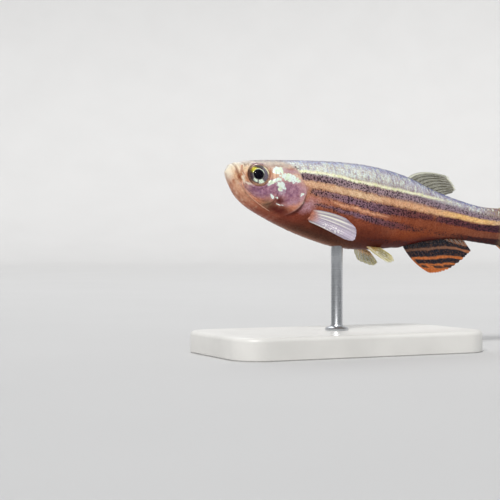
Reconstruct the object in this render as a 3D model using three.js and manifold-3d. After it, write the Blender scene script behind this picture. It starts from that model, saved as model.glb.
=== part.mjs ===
// Zebra danio at life size, still, swimming with its head raised, on a plain display stand.
//
// Row frame: origin on the floor under the rod, +Z up, tail towards +X, the fish's left side
// towards -Y. Fish frame: x from the tip of the lower jaw towards the tail, y to the fish's
// right, z to its back. Places along the fish are shares of BODY_LENGTH. Sizes are millimetres.
import * as THREE from 'three'
import { mergeVertices } from 'three/addons/utils/BufferGeometryUtils.js'
import Module from 'manifold-3d'

const wasm = await Module()
wasm.setup()
const radians = THREE.MathUtils.degToRad
const lerp = THREE.MathUtils.lerp

// Driving dimensions
const BODY_LENGTH = 33
const GAP = 0.3
const PITCH = 9
const BANK = -5.5
const SNOUT_HEIGHT = 18

// Body outlines: place along the fish, then height of the back, of the belly, and half the width
const BACK = [
  [0, 0], [0.005, 0.014], [0.02, 0.027], [0.045, 0.04], [0.11, 0.056], [0.18, 0.069], [0.26, 0.083],
  [0.38, 0.1], [0.5, 0.108], [0.62, 0.1], [0.74, 0.073], [0.85, 0.0585], [0.93, 0.055], [1, 0.062],
]
const BELLY = [
  [0, 0], [0.005, -0.012], [0.02, -0.036], [0.045, -0.067], [0.08, -0.09], [0.14, -0.113],
  [0.22, -0.136], [0.31, -0.154], [0.4, -0.163], [0.5, -0.155], [0.62, -0.127], [0.72, -0.094],
  [0.82, -0.07], [0.92, -0.0645], [1, -0.062],
]
const WIDTH = [
  [0, 0], [0.01, 0.021], [0.04, 0.037], [0.13, 0.056], [0.22, 0.064], [0.37, 0.074], [0.5, 0.07],
  [0.62, 0.056], [0.75, 0.038], [0.88, 0.025], [1, 0.017],
]
const WIDEST_HEIGHT = 0.55
const FULLNESS = 0.82
const LEAST_SHARE = 0.3
const BODY_RINGS = 46
const BODY_SIDES = 32
const RING_CROWDING = 1.6

// Lines of the side view, as x and z in the fish frame, along which the body is parted
const MOUTH_LINE = [[0.3, 1.55], [0.6, 0.82], [1.22, -0.76], [2.1, -1.95], [2.9, -3.6]]
const LIPS = { start: 0.26, end: 0.5, radius: 0.17, sunk: 0.03, stride: 3, steps: 22, quarterSides: 4 }
const NECK_LINE = [
  [6.3, 3.4], [6.75, 1.9], [7.35, 0.6], [8.02, -0.75], [7.62, -2.35], [6.75, -3.2], [5.5, -3.85],
  [4.4, -4.9],
]
const TAIL_LINE = [[28.5, 6], [28.5, 0], [28.5, -6]]

const EYE = {
  x: 3.03, y: 1.33, z: 0, radius: 1.13, bulge: 0.4, depth: 0.6, toeIn: 13, tilt: 8, steps: 5, sides: 20,
}
const PUPIL = { radius: 0.52, rise: 0.1 }
const NOSTRIL = { place: 0.05, angle: 42, forward: 0.3, radius: 0.17, rim: 0.07 }
const GILL_COVER = {
  outline: [
    [5.1, 0.45], [6.2, 0.85], [7.6, 0.9], [9, -0.6], [8.4, -3], [6.6, -3.2], [5.3, -2.65], [4.75, -1.1],
  ],
  depth: 0.6,
  rise: 0.1,
}

// Fins: the line of the root and the spline of the edge, both from the first ray to the last, and
// how far the first and the last ray bow, as points of the fish's left side in the fish frame. The
// right fin of a pair mirrors the left one, fanned wider where it has lines of its own, and is turned
// about its root by degrees about x, y and z
const ROOT_SINK = 0.5
const MEMBRANE = { root: 0.5, edge: 0.24 }
const RAY = { rise: 0.12, edgeRise: 0.05 }
const FINS = {
  dorsal_fin: {
    rays: 9, rows: 7,
    root: [onBack(0.622, ROOT_SINK), onBack(0.76, ROOT_SINK)],
    edge: [[26, 0, 4.35], [26.5, 0, 3.85], [27.05, 0, 3.2], [26.65, 0, 2.65]],
    bow: [[-1.65, 0, 1.15], [0, 0, 0.15]],
  },
  anal_fin: {
    rays: 15, rows: 6,
    root: [onBelly(0.628, ROOT_SINK), onBelly(0.853, ROOT_SINK)],
    edge: [[24.6, 0, -6.35], [25.75, 0, -6.1], [27.2, 0, -5.4], [28.85, 0, -4], [29.6, 0, -3.15]],
    bow: [[-0.45, 0, -0.75], [0, 0, -0.1]],
  },
  caudal_fin: {
    rays: 19, rows: 8,
    root: [[32.6, 0, 1.95], [32.6, 0, -1.95]],
    edge: [
      [40.3, 0, 4.5], [41.5, 0, 3.9], [41, 0, 2.6], [39.2, 0, 1.1], [38.3, 0, -0.1], [39.2, 0, -1.3],
      [41, 0, -2.8], [41.6, 0, -4.1], [40.4, 0, -4.7],
    ],
    bow: [[-0.3, 0, 0.55], [-0.3, 0, -0.55]],
  },
  pectoral_fin: {
    rays: 12, rows: 6, rightTurn: [0, -16, 0],
    root: [[8.2, -1.5, -2.65], [8.6, -1.35, -3.3]],
    edge: [
      [12.1, -3.4, -3.05], [13, -3.7, -3.8], [13.15, -3.8, -4.45], [12.9, -3.8, -5.15],
      [12.1, -3.4, -5.1], [10.7, -2.9, -4.45],
    ],
    bow: [[0.1, -0.5, 0.55], [0, -0.3, -0.1]],
  },
  pelvic_fin: {
    rays: 8, rows: 5, rightTurn: [35, 15, 0],
    root: [[15.95, -0.85, -4.8], [17.6, -0.65, -4.75]],
    edge: [
      [17.85, -1.75, -6.2], [18.6, -1.7, -6.3], [19.15, -1.55, -6], [19.1, -1.3, -5.6],
      [18.75, -1.1, -5.3],
    ],
    bow: [[-0.15, -0.15, -0.2], [0.1, 0, 0]],
    right: {
      root: [[15.75, -0.85, -4.8], [17.7, -0.65, -4.75]],
      edge: [
        [17.15, -1.75, -5.85], [17.9, -1.7, -6.2], [18.9, -1.5, -6.1], [19.6, -1.25, -5.7],
        [19.5, -1.05, -5.3],
      ],
    },
  },
}

// Barbels: route of each left barbel in the fish frame and its radius at the root and the tip
const BARBEL_RADIUS = [0.26, 0.12]
const BARBEL_SIDES = 8
const BARBEL_STEPS = 10
const BARBELS = {
  rostral_barbel: [[1.25, -0.7, 0.7], [1.15, -1.45, 0.55], [1.3, -1.8, 0.05], [1.75, -2, -0.5]],
  maxillary_barbel: [
    [1.6, -0.8, -0.75], [1.35, -1.75, -1.1], [1.75, -1.85, -1.85], [2.7, -1.8, -2.55],
    [3.9, -1.65, -3.2], [4.9, -1.6, -3.75],
  ],
}

const STAND = {
  length: 28, width: 15, height: 2.2, corner: 3, cornerSteps: 5, bevel: 0.35,
  rodPlace: 0.4, rodRadius: 0.6, rodSink: 1.5, rodSides: 20,
}

const COLOURS = {
  head: 0xc79c80, jaw: 0xd9bda6, gill: 0xa98a9e, trunk: 0xb98a6c, tail: 0xb98f58, eye: 0x2b2a35,
  dorsal_fin: 0xa9a283, anal_fin: 0xb9713a, caudal_fin: 0xc2b07a, pectoral_fin: 0xd2ccd0,
  pelvic_fin: 0xc3b98b, barbel: 0xcf9f85, base: 0xd8d6d0, rod: 0x9a9da1,
}

// Body form
function profile(knots) {
  // Smooth curve through the knots over the square root of the place, so that the snout is round
  const roots = knots.map(([place]) => Math.sqrt(place))
  const sizes = knots.map(([, size]) => size)
  const steps = roots.slice(1).map((root, i) => root - roots[i])
  const rises = steps.map((step, i) => (sizes[i + 1] - sizes[i]) / step)
  const last = rises.length
  const slopes = sizes.map((_, i) => {
    if (i === 0) return rises[0]
    if (i === last) return rises[last - 1]
    return (rises[i - 1] * steps[i] + rises[i] * steps[i - 1]) / (steps[i - 1] + steps[i])
  })
  return place => {
    const root = Math.sqrt(Math.max(place, 0))
    let i = 0
    while (i < last - 1 && root > roots[i + 1]) i++
    const t = (root - roots[i]) / steps[i]
    const rest = 1 - t
    return sizes[i] * (1 + 2 * t) * rest * rest + slopes[i] * steps[i] * t * rest * rest
      + sizes[i + 1] * t * t * (3 - 2 * t) - slopes[i + 1] * steps[i] * t * t * rest
  }
}

function onBack(place, sink) {
  return [place * BODY_LENGTH, 0, profile(BACK)(place) * BODY_LENGTH - sink]
}

function onBelly(place, sink) {
  return [place * BODY_LENGTH, 0, profile(BELLY)(place) * BODY_LENGTH + sink]
}

const backAt = profile(BACK)
const bellyAt = profile(BELLY)
const widthAt = profile(WIDTH)

function bodySection(place, grow = 0) {
  const top = backAt(place) * BODY_LENGTH
  const bottom = bellyAt(place) * BODY_LENGTH
  const middle = bottom + (top - bottom) * WIDEST_HEIGHT
  const grown = size => Math.max(size + grow, size * LEAST_SHARE)
  return {
    middle,
    above: grown(top - middle),
    below: grown(middle - bottom),
    half: grown(widthAt(place) * BODY_LENGTH),
  }
}

function bodyPoint(place, angle, grow = 0) {
  // The angle runs from -90 degrees at the belly over 0 on the left flank to 90 at the back
  const { middle, above, below, half } = bodySection(place, grow)
  const up = Math.sin(angle)
  const out = Math.cos(angle)
  const y = -half * Math.sign(out) * Math.abs(out) ** FULLNESS
  const z = middle + (up > 0 ? above : below) * up
  return new THREE.Vector3(place * (BODY_LENGTH + 2 * grow) - grow, y, z)
}

function flankAt(x, z) {
  // Half the body's width at a point of its side view
  const { middle, above, below, half } = bodySection(x / BODY_LENGTH)
  const up = z > middle ? (z - middle) / above : (middle - z) / below
  return half * Math.sqrt(Math.max(0, 1 - up * up)) ** FULLNESS
}

// Meshes from points
function surface(points, faces) {
  const geometry = new THREE.BufferGeometry()
  const numbers = points.flatMap(point => point.toArray())
  geometry.setAttribute('position', new THREE.Float32BufferAttribute(numbers, 3))
  geometry.setIndex(faces.flat())
  return geometry
}

function loft(rings) {
  // Closed skin over rings of points, with a point in the middle of each end
  const sides = rings[0].length
  const points = rings.flat()
  const faces = []
  for (let ring = 0; ring < rings.length - 1; ring++) {
    for (let side = 0; side < sides; side++) {
      const a = ring * sides + side
      const b = ring * sides + (side + 1) % sides
      faces.push([a, b, b + sides], [a, b + sides, a + sides])
    }
  }
  for (const ring of [0, rings.length - 1]) {
    const centre = points.length
    points.push(rings[ring].reduce((sum, p) => sum.add(p), new THREE.Vector3()).divideScalar(sides))
    for (let side = 0; side < sides; side++) {
      const a = ring * sides + side
      const b = ring * sides + (side + 1) % sides
      faces.push(ring === 0 ? [centre, b, a] : [centre, a, b])
    }
  }
  return surface(points, faces)
}

function bodyGeometry(grow = 0) {
  const rings = []
  for (let ring = 1; ring <= BODY_RINGS; ring++) {
    const place = (ring / BODY_RINGS) ** RING_CROWDING
    const points = []
    for (let side = 0; side < BODY_SIDES; side++) {
      points.push(bodyPoint(place, side / BODY_SIDES * 2 * Math.PI - Math.PI / 2, grow))
    }
    rings.push(points)
  }
  return loft(rings)
}

// Solids, which only join and cut
function turned(geometry) {
  // The same mesh with its faces turned round
  const index = geometry.index
  for (let i = 0; i < index.count; i += 3) {
    const [b, c] = [index.getX(i + 1), index.getX(i + 2)]
    index.setX(i + 1, c)
    index.setX(i + 2, b)
  }
  return geometry
}

function mirrored(geometry) {
  // The same piece on the fish's right side
  return turned(geometry.clone().scale(1, -1, 1))
}

function solid(geometry) {
  const bare = geometry.clone()
  bare.deleteAttribute('normal')
  bare.deleteAttribute('uv')
  const merged = mergeVertices(bare, 1e-5)
  const mesh = new wasm.Mesh({
    numProp: 3,
    vertProperties: new Float32Array(merged.attributes.position.array),
    triVerts: new Uint32Array(merged.index.array),
  })
  const shape = new wasm.Manifold(mesh)
  return shape.volume() < 0 ? solid(turned(merged)) : shape
}

function geometryOf(shape) {
  // The largest closed surface of a solid
  const larger = (best, piece) => piece.volume() > best.volume() ? piece : best
  const mesh = shape.decompose().reduce(larger).getMesh()
  const geometry = new THREE.BufferGeometry()
  geometry.setAttribute('position', new THREE.Float32BufferAttribute(mesh.vertProperties, 3))
  geometry.setIndex(new THREE.Uint32BufferAttribute(mesh.triVerts, 1))
  return geometry
}

// Parting by prisms across the fish, over outlines of its side view
const REACH = 8
const FAR = 12
const LINE_STEPS = 24

function prism(outline, from = -REACH, to = REACH) {
  const shape = new THREE.Shape(outline.map(([x, z]) => new THREE.Vector2(x, z)))
  const block = new THREE.ExtrudeGeometry(shape, { depth: to - from, bevelEnabled: false })
  return solid(block.rotateX(Math.PI / 2).translate(0, to, 0))
}

function alongLine(line, distance, { from = 0, to = 1, closed = false } = {}) {
  // Points of the smooth line, moved sideways: tailwards for a line that runs down, and outwards
  // for a closed one that runs clockwise
  const curve = new THREE.CatmullRomCurve3(line.map(([x, z]) => new THREE.Vector3(x, z, 0)), closed)
  const count = closed ? LINE_STEPS : LINE_STEPS + 1
  return Array.from({ length: count }, (_, i) => {
    const t = lerp(from, to, i / LINE_STEPS)
    const along = curve.getTangent(t)
    const point = curve.getPoint(t)
    return [point.x - along.y * distance, point.y + along.x * distance]
  })
}

function before(line) {
  return prism([[-FAR, FAR], ...alongLine(line, -GAP / 2), [-FAR, -FAR]].reverse())
}

function behind(line) {
  const tail = BODY_LENGTH + FAR
  return prism([[tail, FAR], ...alongLine(line, GAP / 2), [tail, -FAR]])
}

// Eyes
function eyeGeometry(grow = 0) {
  // Turned about +Y, which looks out of the head
  const outer = []
  const inner = []
  for (let i = 0; i <= EYE.steps; i++) {
    const angle = i / EYE.steps * Math.PI / 2
    const radius = (EYE.radius + grow) * Math.sin(angle)
    const lens = Math.max(0, 1 - (radius / PUPIL.radius) ** 2)
    outer.push(new THREE.Vector2(radius, (EYE.bulge + grow) * Math.cos(angle) + PUPIL.rise * lens))
    if (i < EYE.steps) {
      inner.unshift(new THREE.Vector2(radius, -(EYE.depth + grow) * Math.cos(angle)))
    }
  }
  return new THREE.LatheGeometry([...outer, ...inner].reverse(), EYE.sides)
}

function eyePlace(side) {
  const toeIn = radians(EYE.toeIn)
  const tilt = radians(EYE.tilt)
  const outward = new THREE.Vector3(-Math.sin(toeIn), side * Math.cos(toeIn), Math.sin(tilt)).normalize()
  const turn = new THREE.Quaternion().setFromUnitVectors(new THREE.Vector3(0, 1, 0), outward)
  return { position: new THREE.Vector3(EYE.x, side * EYE.y, EYE.z), turn }
}

function eyeSocket(side) {
  const { position, turn } = eyePlace(side)
  return solid(eyeGeometry(GAP).applyQuaternion(turn).translate(...position))
}

// Mouth and nostrils
function lip(offset) {
  // A round rim along the edge of the mouth, from corner to corner over the snout
  const left = alongLine(MOUTH_LINE, offset, { from: LIPS.end, to: LIPS.start })
    .map(([x, z]) => new THREE.Vector3(x, -Math.max(0, flankAt(x, z) - LIPS.sunk), z))
    .filter((_, i) => i % LIPS.stride === 0)
  const right = left.filter(point => point.y < 0).map(({ x, y, z }) => new THREE.Vector3(x, -y, z))
  const path = new THREE.CatmullRomCurve3([...left, ...right.reverse()])
  const section = new THREE.Shape().absarc(0, 0, LIPS.radius, 0, 2 * Math.PI)
  return solid(new THREE.ExtrudeGeometry(section, {
    steps: LIPS.steps, curveSegments: LIPS.quarterSides, bevelEnabled: false, extrudePath: path,
  }))
}

function nostril(side) {
  const angle = radians(NOSTRIL.angle)
  const point = bodyPoint(NOSTRIL.place, angle)
  const outward = new THREE.Vector3(-NOSTRIL.forward, -Math.cos(angle), Math.sin(angle)).normalize()
  const turn = new THREE.Quaternion().setFromUnitVectors(new THREE.Vector3(0, 0, 1), outward)
  const shaped = geometry => {
    geometry.applyQuaternion(turn).translate(...point)
    return solid(side < 0 ? geometry : mirrored(geometry))
  }
  return {
    rim: shaped(new THREE.TorusGeometry(NOSTRIL.radius + NOSTRIL.rim / 2, NOSTRIL.rim, 6, 12)),
    pit: shaped(new THREE.SphereGeometry(NOSTRIL.radius, 10, 6)),
  }
}

// Fins
function finGeometry({ rays, rows, root, edge, bow }) {
  // One closed leaf: the same net of points on both faces, raised along every ray
  const rootPoints = root.map(point => new THREE.Vector3(...point))
  const bowPoints = bow.map(point => new THREE.Vector3(...point))
  const edgeLine = new THREE.CatmullRomCurve3(edge.map(point => new THREE.Vector3(...point)))
  const spans = Array.from({ length: 2 * rays + 1 }, (_, column) => column / (2 * rays))
  const onRay = (share, t) => {
    const start = rootPoints[0].clone().lerp(rootPoints[1], share)
    const end = edgeLine.getPoint(share)
    const control = start.clone().add(end).multiplyScalar(0.5)
    control.add(bowPoints[0].clone().lerp(bowPoints[1], share))
    return new THREE.QuadraticBezierCurve3(start, control, end).getPoint(t)
  }
  const across = rootPoints[1].clone().sub(rootPoints[0])
  const side = edgeLine.getPoint(0.5).sub(rootPoints[0]).cross(across).normalize()
  if (side.y > 0) side.negate()
  const faces = []
  const leaves = [1, -1].map(face => spans.flatMap((share, column) => {
    const onRidge = column % 2 === 1
    return Array.from({ length: rows + 1 }, (_, row) => {
      const t = row / rows
      const rise = onRidge ? lerp(RAY.rise, RAY.edgeRise, t) : 0
      const half = lerp(MEMBRANE.root, MEMBRANE.edge, t ** 2) / 2 + rise
      return onRay(share, t).addScaledVector(side, face * half)
    })
  }))
  const stride = rows + 1
  const other = leaves[0].length
  const quad = (a, b, c, d) => faces.push([a, b, c], [a, c, d])
  for (let column = 0; column < spans.length - 1; column++) {
    for (let row = 0; row < rows; row++) {
      const a = column * stride + row
      const [b, c, d] = [a + stride, a + stride + 1, a + 1]
      quad(a, b, c, d)
      faces.push([other + a, other + c, other + b], [other + a, other + d, other + c])
    }
    const [near, far] = [column * stride, (column + 1) * stride]
    quad(near, other + near, other + far, far)
    quad(far + rows, other + far + rows, other + near + rows, near + rows)
  }
  const lastColumn = (spans.length - 1) * stride
  for (let row = 0; row < rows; row++) {
    const end = lastColumn + row
    quad(row + 1, other + row + 1, other + row, row)
    quad(end, other + end, other + end + 1, end + 1)
  }
  return surface(leaves.flat(), faces)
}

function rightFinGeometry(leftForm) {
  const form = { ...leftForm, ...leftForm.right }
  const [x, y, z] = form.root[0]
  const turn = new THREE.Quaternion().setFromEuler(new THREE.Euler(...form.rightTurn.map(radians)))
  return mirrored(finGeometry(form)).translate(-x, y, -z).applyQuaternion(turn).translate(x, -y, z)
}

// Barbels
function barbelGeometry(route) {
  const path = new THREE.CatmullRomCurve3(route.map(point => new THREE.Vector3(...point)))
  const { normals, binormals } = path.computeFrenetFrames(BARBEL_STEPS)
  const rings = normals.map((normal, step) => {
    const t = step / BARBEL_STEPS
    const radius = lerp(...BARBEL_RADIUS, t)
    return Array.from({ length: BARBEL_SIDES }, (_, side) => {
      const angle = side / BARBEL_SIDES * 2 * Math.PI
      return path.getPointAt(t)
        .addScaledVector(normal, radius * Math.cos(angle))
        .addScaledVector(binormals[step], radius * Math.sin(angle))
    })
  })
  return loft(rings)
}

// Assembly: a group that carries the fish in its pose, and the stand beside it
const model = new THREE.Group()
const fish = new THREE.Group()
model.add(fish)
fish.rotation.set(radians(BANK), radians(PITCH), 0, 'YXZ')
const held = bodyPoint(STAND.rodPlace, -Math.PI / 2).applyEuler(fish.rotation)
fish.position.set(-held.x, -held.y, SNOUT_HEIGHT)
fish.updateMatrix()

function add(parent, name, shape, colour, { roughness = 0.45, metalness = 0 } = {}) {
  const geometry = geometryOf(shape)
  geometry.computeVertexNormals()
  const material = new THREE.MeshStandardMaterial({ color: colour, roughness, metalness })
  const mesh = new THREE.Mesh(geometry, material)
  mesh.name = name
  parent.add(mesh)
  return mesh
}

function addPair(name, shape, colour, finish) {
  add(fish, `${name}_left`, shape, colour, finish)
  add(fish, `${name}_right`, solid(mirrored(geometryOf(shape))), colour, finish)
}

const body = solid(bodyGeometry())
const clearance = solid(bodyGeometry(GAP))
const headBlock = body.intersect(before(NECK_LINE))

function addHead() {
  const lipOffset = GAP / 2 + LIPS.radius
  const jaw = headBlock.add(lip(-lipOffset)).intersect(before(MOUTH_LINE))
  let head = headBlock.add(lip(lipOffset)).intersect(behind(MOUTH_LINE))
  for (const side of [-1, 1]) {
    const { rim, pit } = nostril(side)
    head = head.subtract(eyeSocket(side)).subtract(gillBay(side)).add(rim).subtract(pit)
  }
  add(fish, 'head', head, COLOURS.head)
  add(fish, 'lower_jaw', jaw, COLOURS.jaw)
}

function gillShell(grow) {
  // The layer of the head that the cover lies in, inside the cover's outline
  const skin = solid(bodyGeometry(GILL_COVER.rise + grow))
  const core = solid(bodyGeometry(-GILL_COVER.depth - grow))
  const outline = alongLine(GILL_COVER.outline, grow, { closed: true })
  return skin.subtract(core).intersect(prism(outline, -REACH, -GAP))
}

function gillBay(side) {
  const bay = gillShell(GAP)
  return side < 0 ? bay : solid(mirrored(geometryOf(bay)))
}

function addEye(name, side) {
  const mesh = add(fish, name, solid(eyeGeometry()), COLOURS.eye, { roughness: 0.15 })
  const { position, turn } = eyePlace(side)
  mesh.position.copy(position)
  mesh.quaternion.copy(turn)
}

function addStand() {
  const { length, width, height, corner, cornerSteps, bevel, rodRadius, rodSink, rodSides } = STAND
  const x = length / 2 - bevel - corner
  const y = width / 2 - bevel - corner
  const quarter = Math.PI / 2
  const plan = new THREE.Shape()
  plan.absarc(x, -y, corner, -quarter, 0)
  plan.absarc(x, y, corner, 0, quarter)
  plan.absarc(-x, y, corner, quarter, 2 * quarter)
  plan.absarc(-x, -y, corner, 2 * quarter, 3 * quarter)
  const slab = new THREE.ExtrudeGeometry(plan, {
    depth: height - 2 * bevel,
    bevelThickness: bevel,
    bevelSize: bevel,
    bevelSegments: 1,
    curveSegments: cornerSteps,
  })
  add(model, 'stand_base', solid(slab.translate(0, 0, bevel)), COLOURS.base, { roughness: 0.5 })

  const foot = height + GAP
  const top = SNOUT_HEIGHT + held.z + rodSink
  const rod = new THREE.CylinderGeometry(rodRadius, rodRadius, top - foot, rodSides)
  rod.rotateX(Math.PI / 2).translate(0, 0, (top + foot) / 2)
  const posed = solid(bodyGeometry(GAP).applyMatrix4(fish.matrix))
  add(model, 'stand_rod', solid(rod).subtract(posed), COLOURS.rod, { roughness: 0.3, metalness: 0.9 })
}

addHead()
addPair('gill_cover', gillShell(0).intersect(before(NECK_LINE)), COLOURS.gill)
add(fish, 'trunk', body.intersect(behind(NECK_LINE)).intersect(before(TAIL_LINE)), COLOURS.trunk)
add(fish, 'tail_stem', body.intersect(behind(TAIL_LINE)), COLOURS.tail)
addEye('eye_left', -1)
addEye('eye_right', 1)
for (const [name, form] of Object.entries(FINS)) {
  const fin = solid(finGeometry(form)).subtract(clearance)
  if (form.rightTurn) {
    add(fish, `${name}_left`, fin, COLOURS[name])
    add(fish, `${name}_right`, solid(rightFinGeometry(form)).subtract(clearance), COLOURS[name])
  } else {
    add(fish, name, fin, COLOURS[name])
  }
}
for (const [name, route] of Object.entries(BARBELS)) {
  addPair(name, solid(barbelGeometry(route)).subtract(clearance), COLOURS.barbel)
}
addStand()

export default model
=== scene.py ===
import math

import bpy
import numpy as np
from mathutils import Matrix, Vector


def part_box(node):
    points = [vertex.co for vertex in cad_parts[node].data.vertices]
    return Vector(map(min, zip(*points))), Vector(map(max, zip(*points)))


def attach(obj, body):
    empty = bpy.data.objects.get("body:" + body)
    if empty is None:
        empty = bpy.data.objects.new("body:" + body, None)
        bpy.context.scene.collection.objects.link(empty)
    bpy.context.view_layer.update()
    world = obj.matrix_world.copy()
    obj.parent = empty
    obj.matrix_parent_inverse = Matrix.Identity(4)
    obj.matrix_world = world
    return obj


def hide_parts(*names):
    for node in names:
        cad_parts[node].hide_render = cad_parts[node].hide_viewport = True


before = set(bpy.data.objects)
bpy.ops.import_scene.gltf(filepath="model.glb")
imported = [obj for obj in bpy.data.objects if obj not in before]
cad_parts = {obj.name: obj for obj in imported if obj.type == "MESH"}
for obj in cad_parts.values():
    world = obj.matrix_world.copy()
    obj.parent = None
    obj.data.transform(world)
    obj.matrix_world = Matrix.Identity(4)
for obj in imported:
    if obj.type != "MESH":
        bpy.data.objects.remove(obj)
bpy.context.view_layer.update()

# Zebra danio at life size on a plain display stand: skin, scales, fins, eyes, barbels and stand.
#
# Shapes are worked out in millimetres in the fish frame: x from the tip of the lower jaw towards the
# tail, y to the fish's right, z to its back. A place is a share of the body's length. A level runs
# round the flank, from 0 at the belly over 0.5 on the side to 1 at the back. `to_row` poses the
# points and brings them into metres of the row frame.

bpy.context.scene.view_settings.view_transform = "Standard"

# Pose and camera
BODY_LENGTH = 33.0
PITCH = 9.0
BANK = -5.5
SNOUT_HEIGHT = 18.0
ROD_PLACE = 0.4
CAMERA = {"azimuth": -25.0, "distance": 120.0, "lens": 88.3, "sensor": 36.0, "image": 500}
SNOUT_PIXEL = (225.0, 171.7)

# Body outlines: place along the fish, then height of the back, of the belly, and half the width
BACK = [
    (0, 0), (0.005, 0.014), (0.02, 0.027), (0.045, 0.04), (0.11, 0.056), (0.18, 0.069),
    (0.26, 0.083), (0.38, 0.1), (0.5, 0.108), (0.62, 0.1), (0.74, 0.073), (0.85, 0.0585),
    (0.93, 0.055), (1, 0.062),
]
BELLY = [
    (0, 0), (0.005, -0.012), (0.02, -0.036), (0.045, -0.067), (0.08, -0.09), (0.14, -0.113),
    (0.22, -0.136), (0.31, -0.154), (0.4, -0.163), (0.5, -0.155), (0.62, -0.127),
    (0.72, -0.094), (0.82, -0.07), (0.92, -0.0645), (1, -0.062),
]
WIDTH = [
    (0, 0), (0.01, 0.021), (0.04, 0.037), (0.13, 0.056), (0.22, 0.064), (0.37, 0.074),
    (0.5, 0.07), (0.62, 0.056), (0.75, 0.038), (0.88, 0.025), (1, 0.017),
]
WIDEST_HEIGHT = 0.55
FULLNESS = 0.82

# Lines of the side view, as x and z in the fish frame
MOUTH_LINE = [(0.3, 1.55), (0.6, 0.82), (1.22, -0.76), (2.1, -1.95), (2.9, -3.6)]
NECK_LINE = [
    (6.3, 3.4), (6.75, 1.9), (7.35, 0.6), (8.02, -0.75), (7.62, -2.35), (6.75, -3.2),
    (5.5, -3.85), (4.4, -4.9),
]
CHEEK_LINE = [(1.2, -0.7), (1.75, -1.35), (2.6, -2.05), (3.6, -2.5), (4.5, -2.45)]
PREOPERCLE_LINE = [(4.75, 1.0), (4.85, -0.3), (5.1, -1.6), (4.75, -2.45), (3.7, -2.95)]
SUBOPERCLE_LINE = [(5.4, -2.2), (6.2, -2.45), (7.0, -2.35), (7.65, -1.85)]
EYE = {"x": 3.03, "y": 1.33, "z": 0.0, "radius": 1.13, "toe_in": 13.0, "tilt": 8.0}
SIDES = {"left": -1, "right": 1}
MIRROR = np.array([1, -1, 1])


def smooth(low, high, value):
    """0 below low, 1 above high, and an even turn between them."""
    share = np.clip((value - low) / (high - low), 0, 1)
    return share * share * (3 - 2 * share)


def band(value, low, high, soft):
    """1 between low and high, with soft ends."""
    return smooth(low - soft, low + soft, value) * (1 - smooth(high - soft, high + soft, value))


def bump(distance, reach):
    """A round hill over a distance."""
    return np.exp(-(distance / reach) ** 2)


def turns(count):
    """Angles evenly round a ring."""
    return np.linspace(0, 2 * math.pi, count, endpoint=False)


def unit(vectors):
    return vectors / np.maximum(np.linalg.norm(vectors, axis=-1, keepdims=True), 1e-9)


# Body form
def profile(knots):
    """Smooth curve through the knots over the square root of the place, so the snout is round."""
    roots = np.sqrt([place for place, _ in knots])
    sizes = np.array([size for _, size in knots], float)
    steps = np.diff(roots)
    rises = np.diff(sizes) / steps
    inner = (rises[:-1] * steps[1:] + rises[1:] * steps[:-1]) / (steps[:-1] + steps[1:])
    slopes = np.concatenate([rises[:1], inner, rises[-1:]])

    def at(place):
        root = np.sqrt(np.clip(place, 0, None))
        i = np.clip(np.searchsorted(roots, root, side="right") - 1, 0, len(steps) - 1)
        t = (root - roots[i]) / steps[i]
        rest = 1 - t
        start = sizes[i] * (1 + 2 * t) * rest**2 + slopes[i] * steps[i] * t * rest**2
        return start + sizes[i + 1] * t**2 * (3 - 2 * t) - slopes[i + 1] * steps[i] * t**2 * rest
    return at


back_at = profile(BACK)
belly_at = profile(BELLY)
width_at = profile(WIDTH)


def outline_at(place):
    """Heights of the back, of the belly and of the widest level between them, and half the width."""
    top = back_at(place) * BODY_LENGTH
    bottom = belly_at(place) * BODY_LENGTH
    return top, bottom, bottom + (top - bottom) * WIDEST_HEIGHT, width_at(place) * BODY_LENGTH


def body_points(place, angle):
    """Points of the body: the angle runs from the belly over 0 on the left flank to the back."""
    place, angle = np.broadcast_arrays(np.asarray(place, float), np.asarray(angle, float))
    top, bottom, middle, half = outline_at(place)
    up, out = np.sin(angle), np.cos(angle)
    y = -half * np.sign(out) * np.abs(out) ** FULLNESS
    z = middle + np.where(up > 0, top - middle, middle - bottom) * up
    return np.stack([place * BODY_LENGTH, y, z], -1)


def flank_at(x, z):
    """Half the body's width at a point of its side view."""
    top, bottom, middle, half = outline_at(x / BODY_LENGTH)
    up = np.where(z > middle, (z - middle) / (top - middle), (middle - z) / (middle - bottom))
    return half * np.sqrt(np.clip(1 - up * up, 0, 1)) ** FULLNESS


def body_normals(place, angle, step=2e-3):
    place = np.maximum(place, 2 * step)
    along = body_points(place + step, angle) - body_points(place - step, angle)
    around = body_points(place, angle + step) - body_points(place, angle - step)
    return unit(np.cross(along, around))


# Pose
def turn_about(axis, degrees):
    return np.array(Matrix.Rotation(math.radians(degrees), 3, axis))


POSE = turn_about("Y", PITCH) @ turn_about("X", BANK)
HELD = POSE @ body_points(ROD_PLACE, -math.pi / 2)
SHIFT = np.array([-HELD[0], -HELD[1], SNOUT_HEIGHT])


def to_row(points):
    return (np.asarray(points, float) @ POSE.T + SHIFT) / 1000


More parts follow.
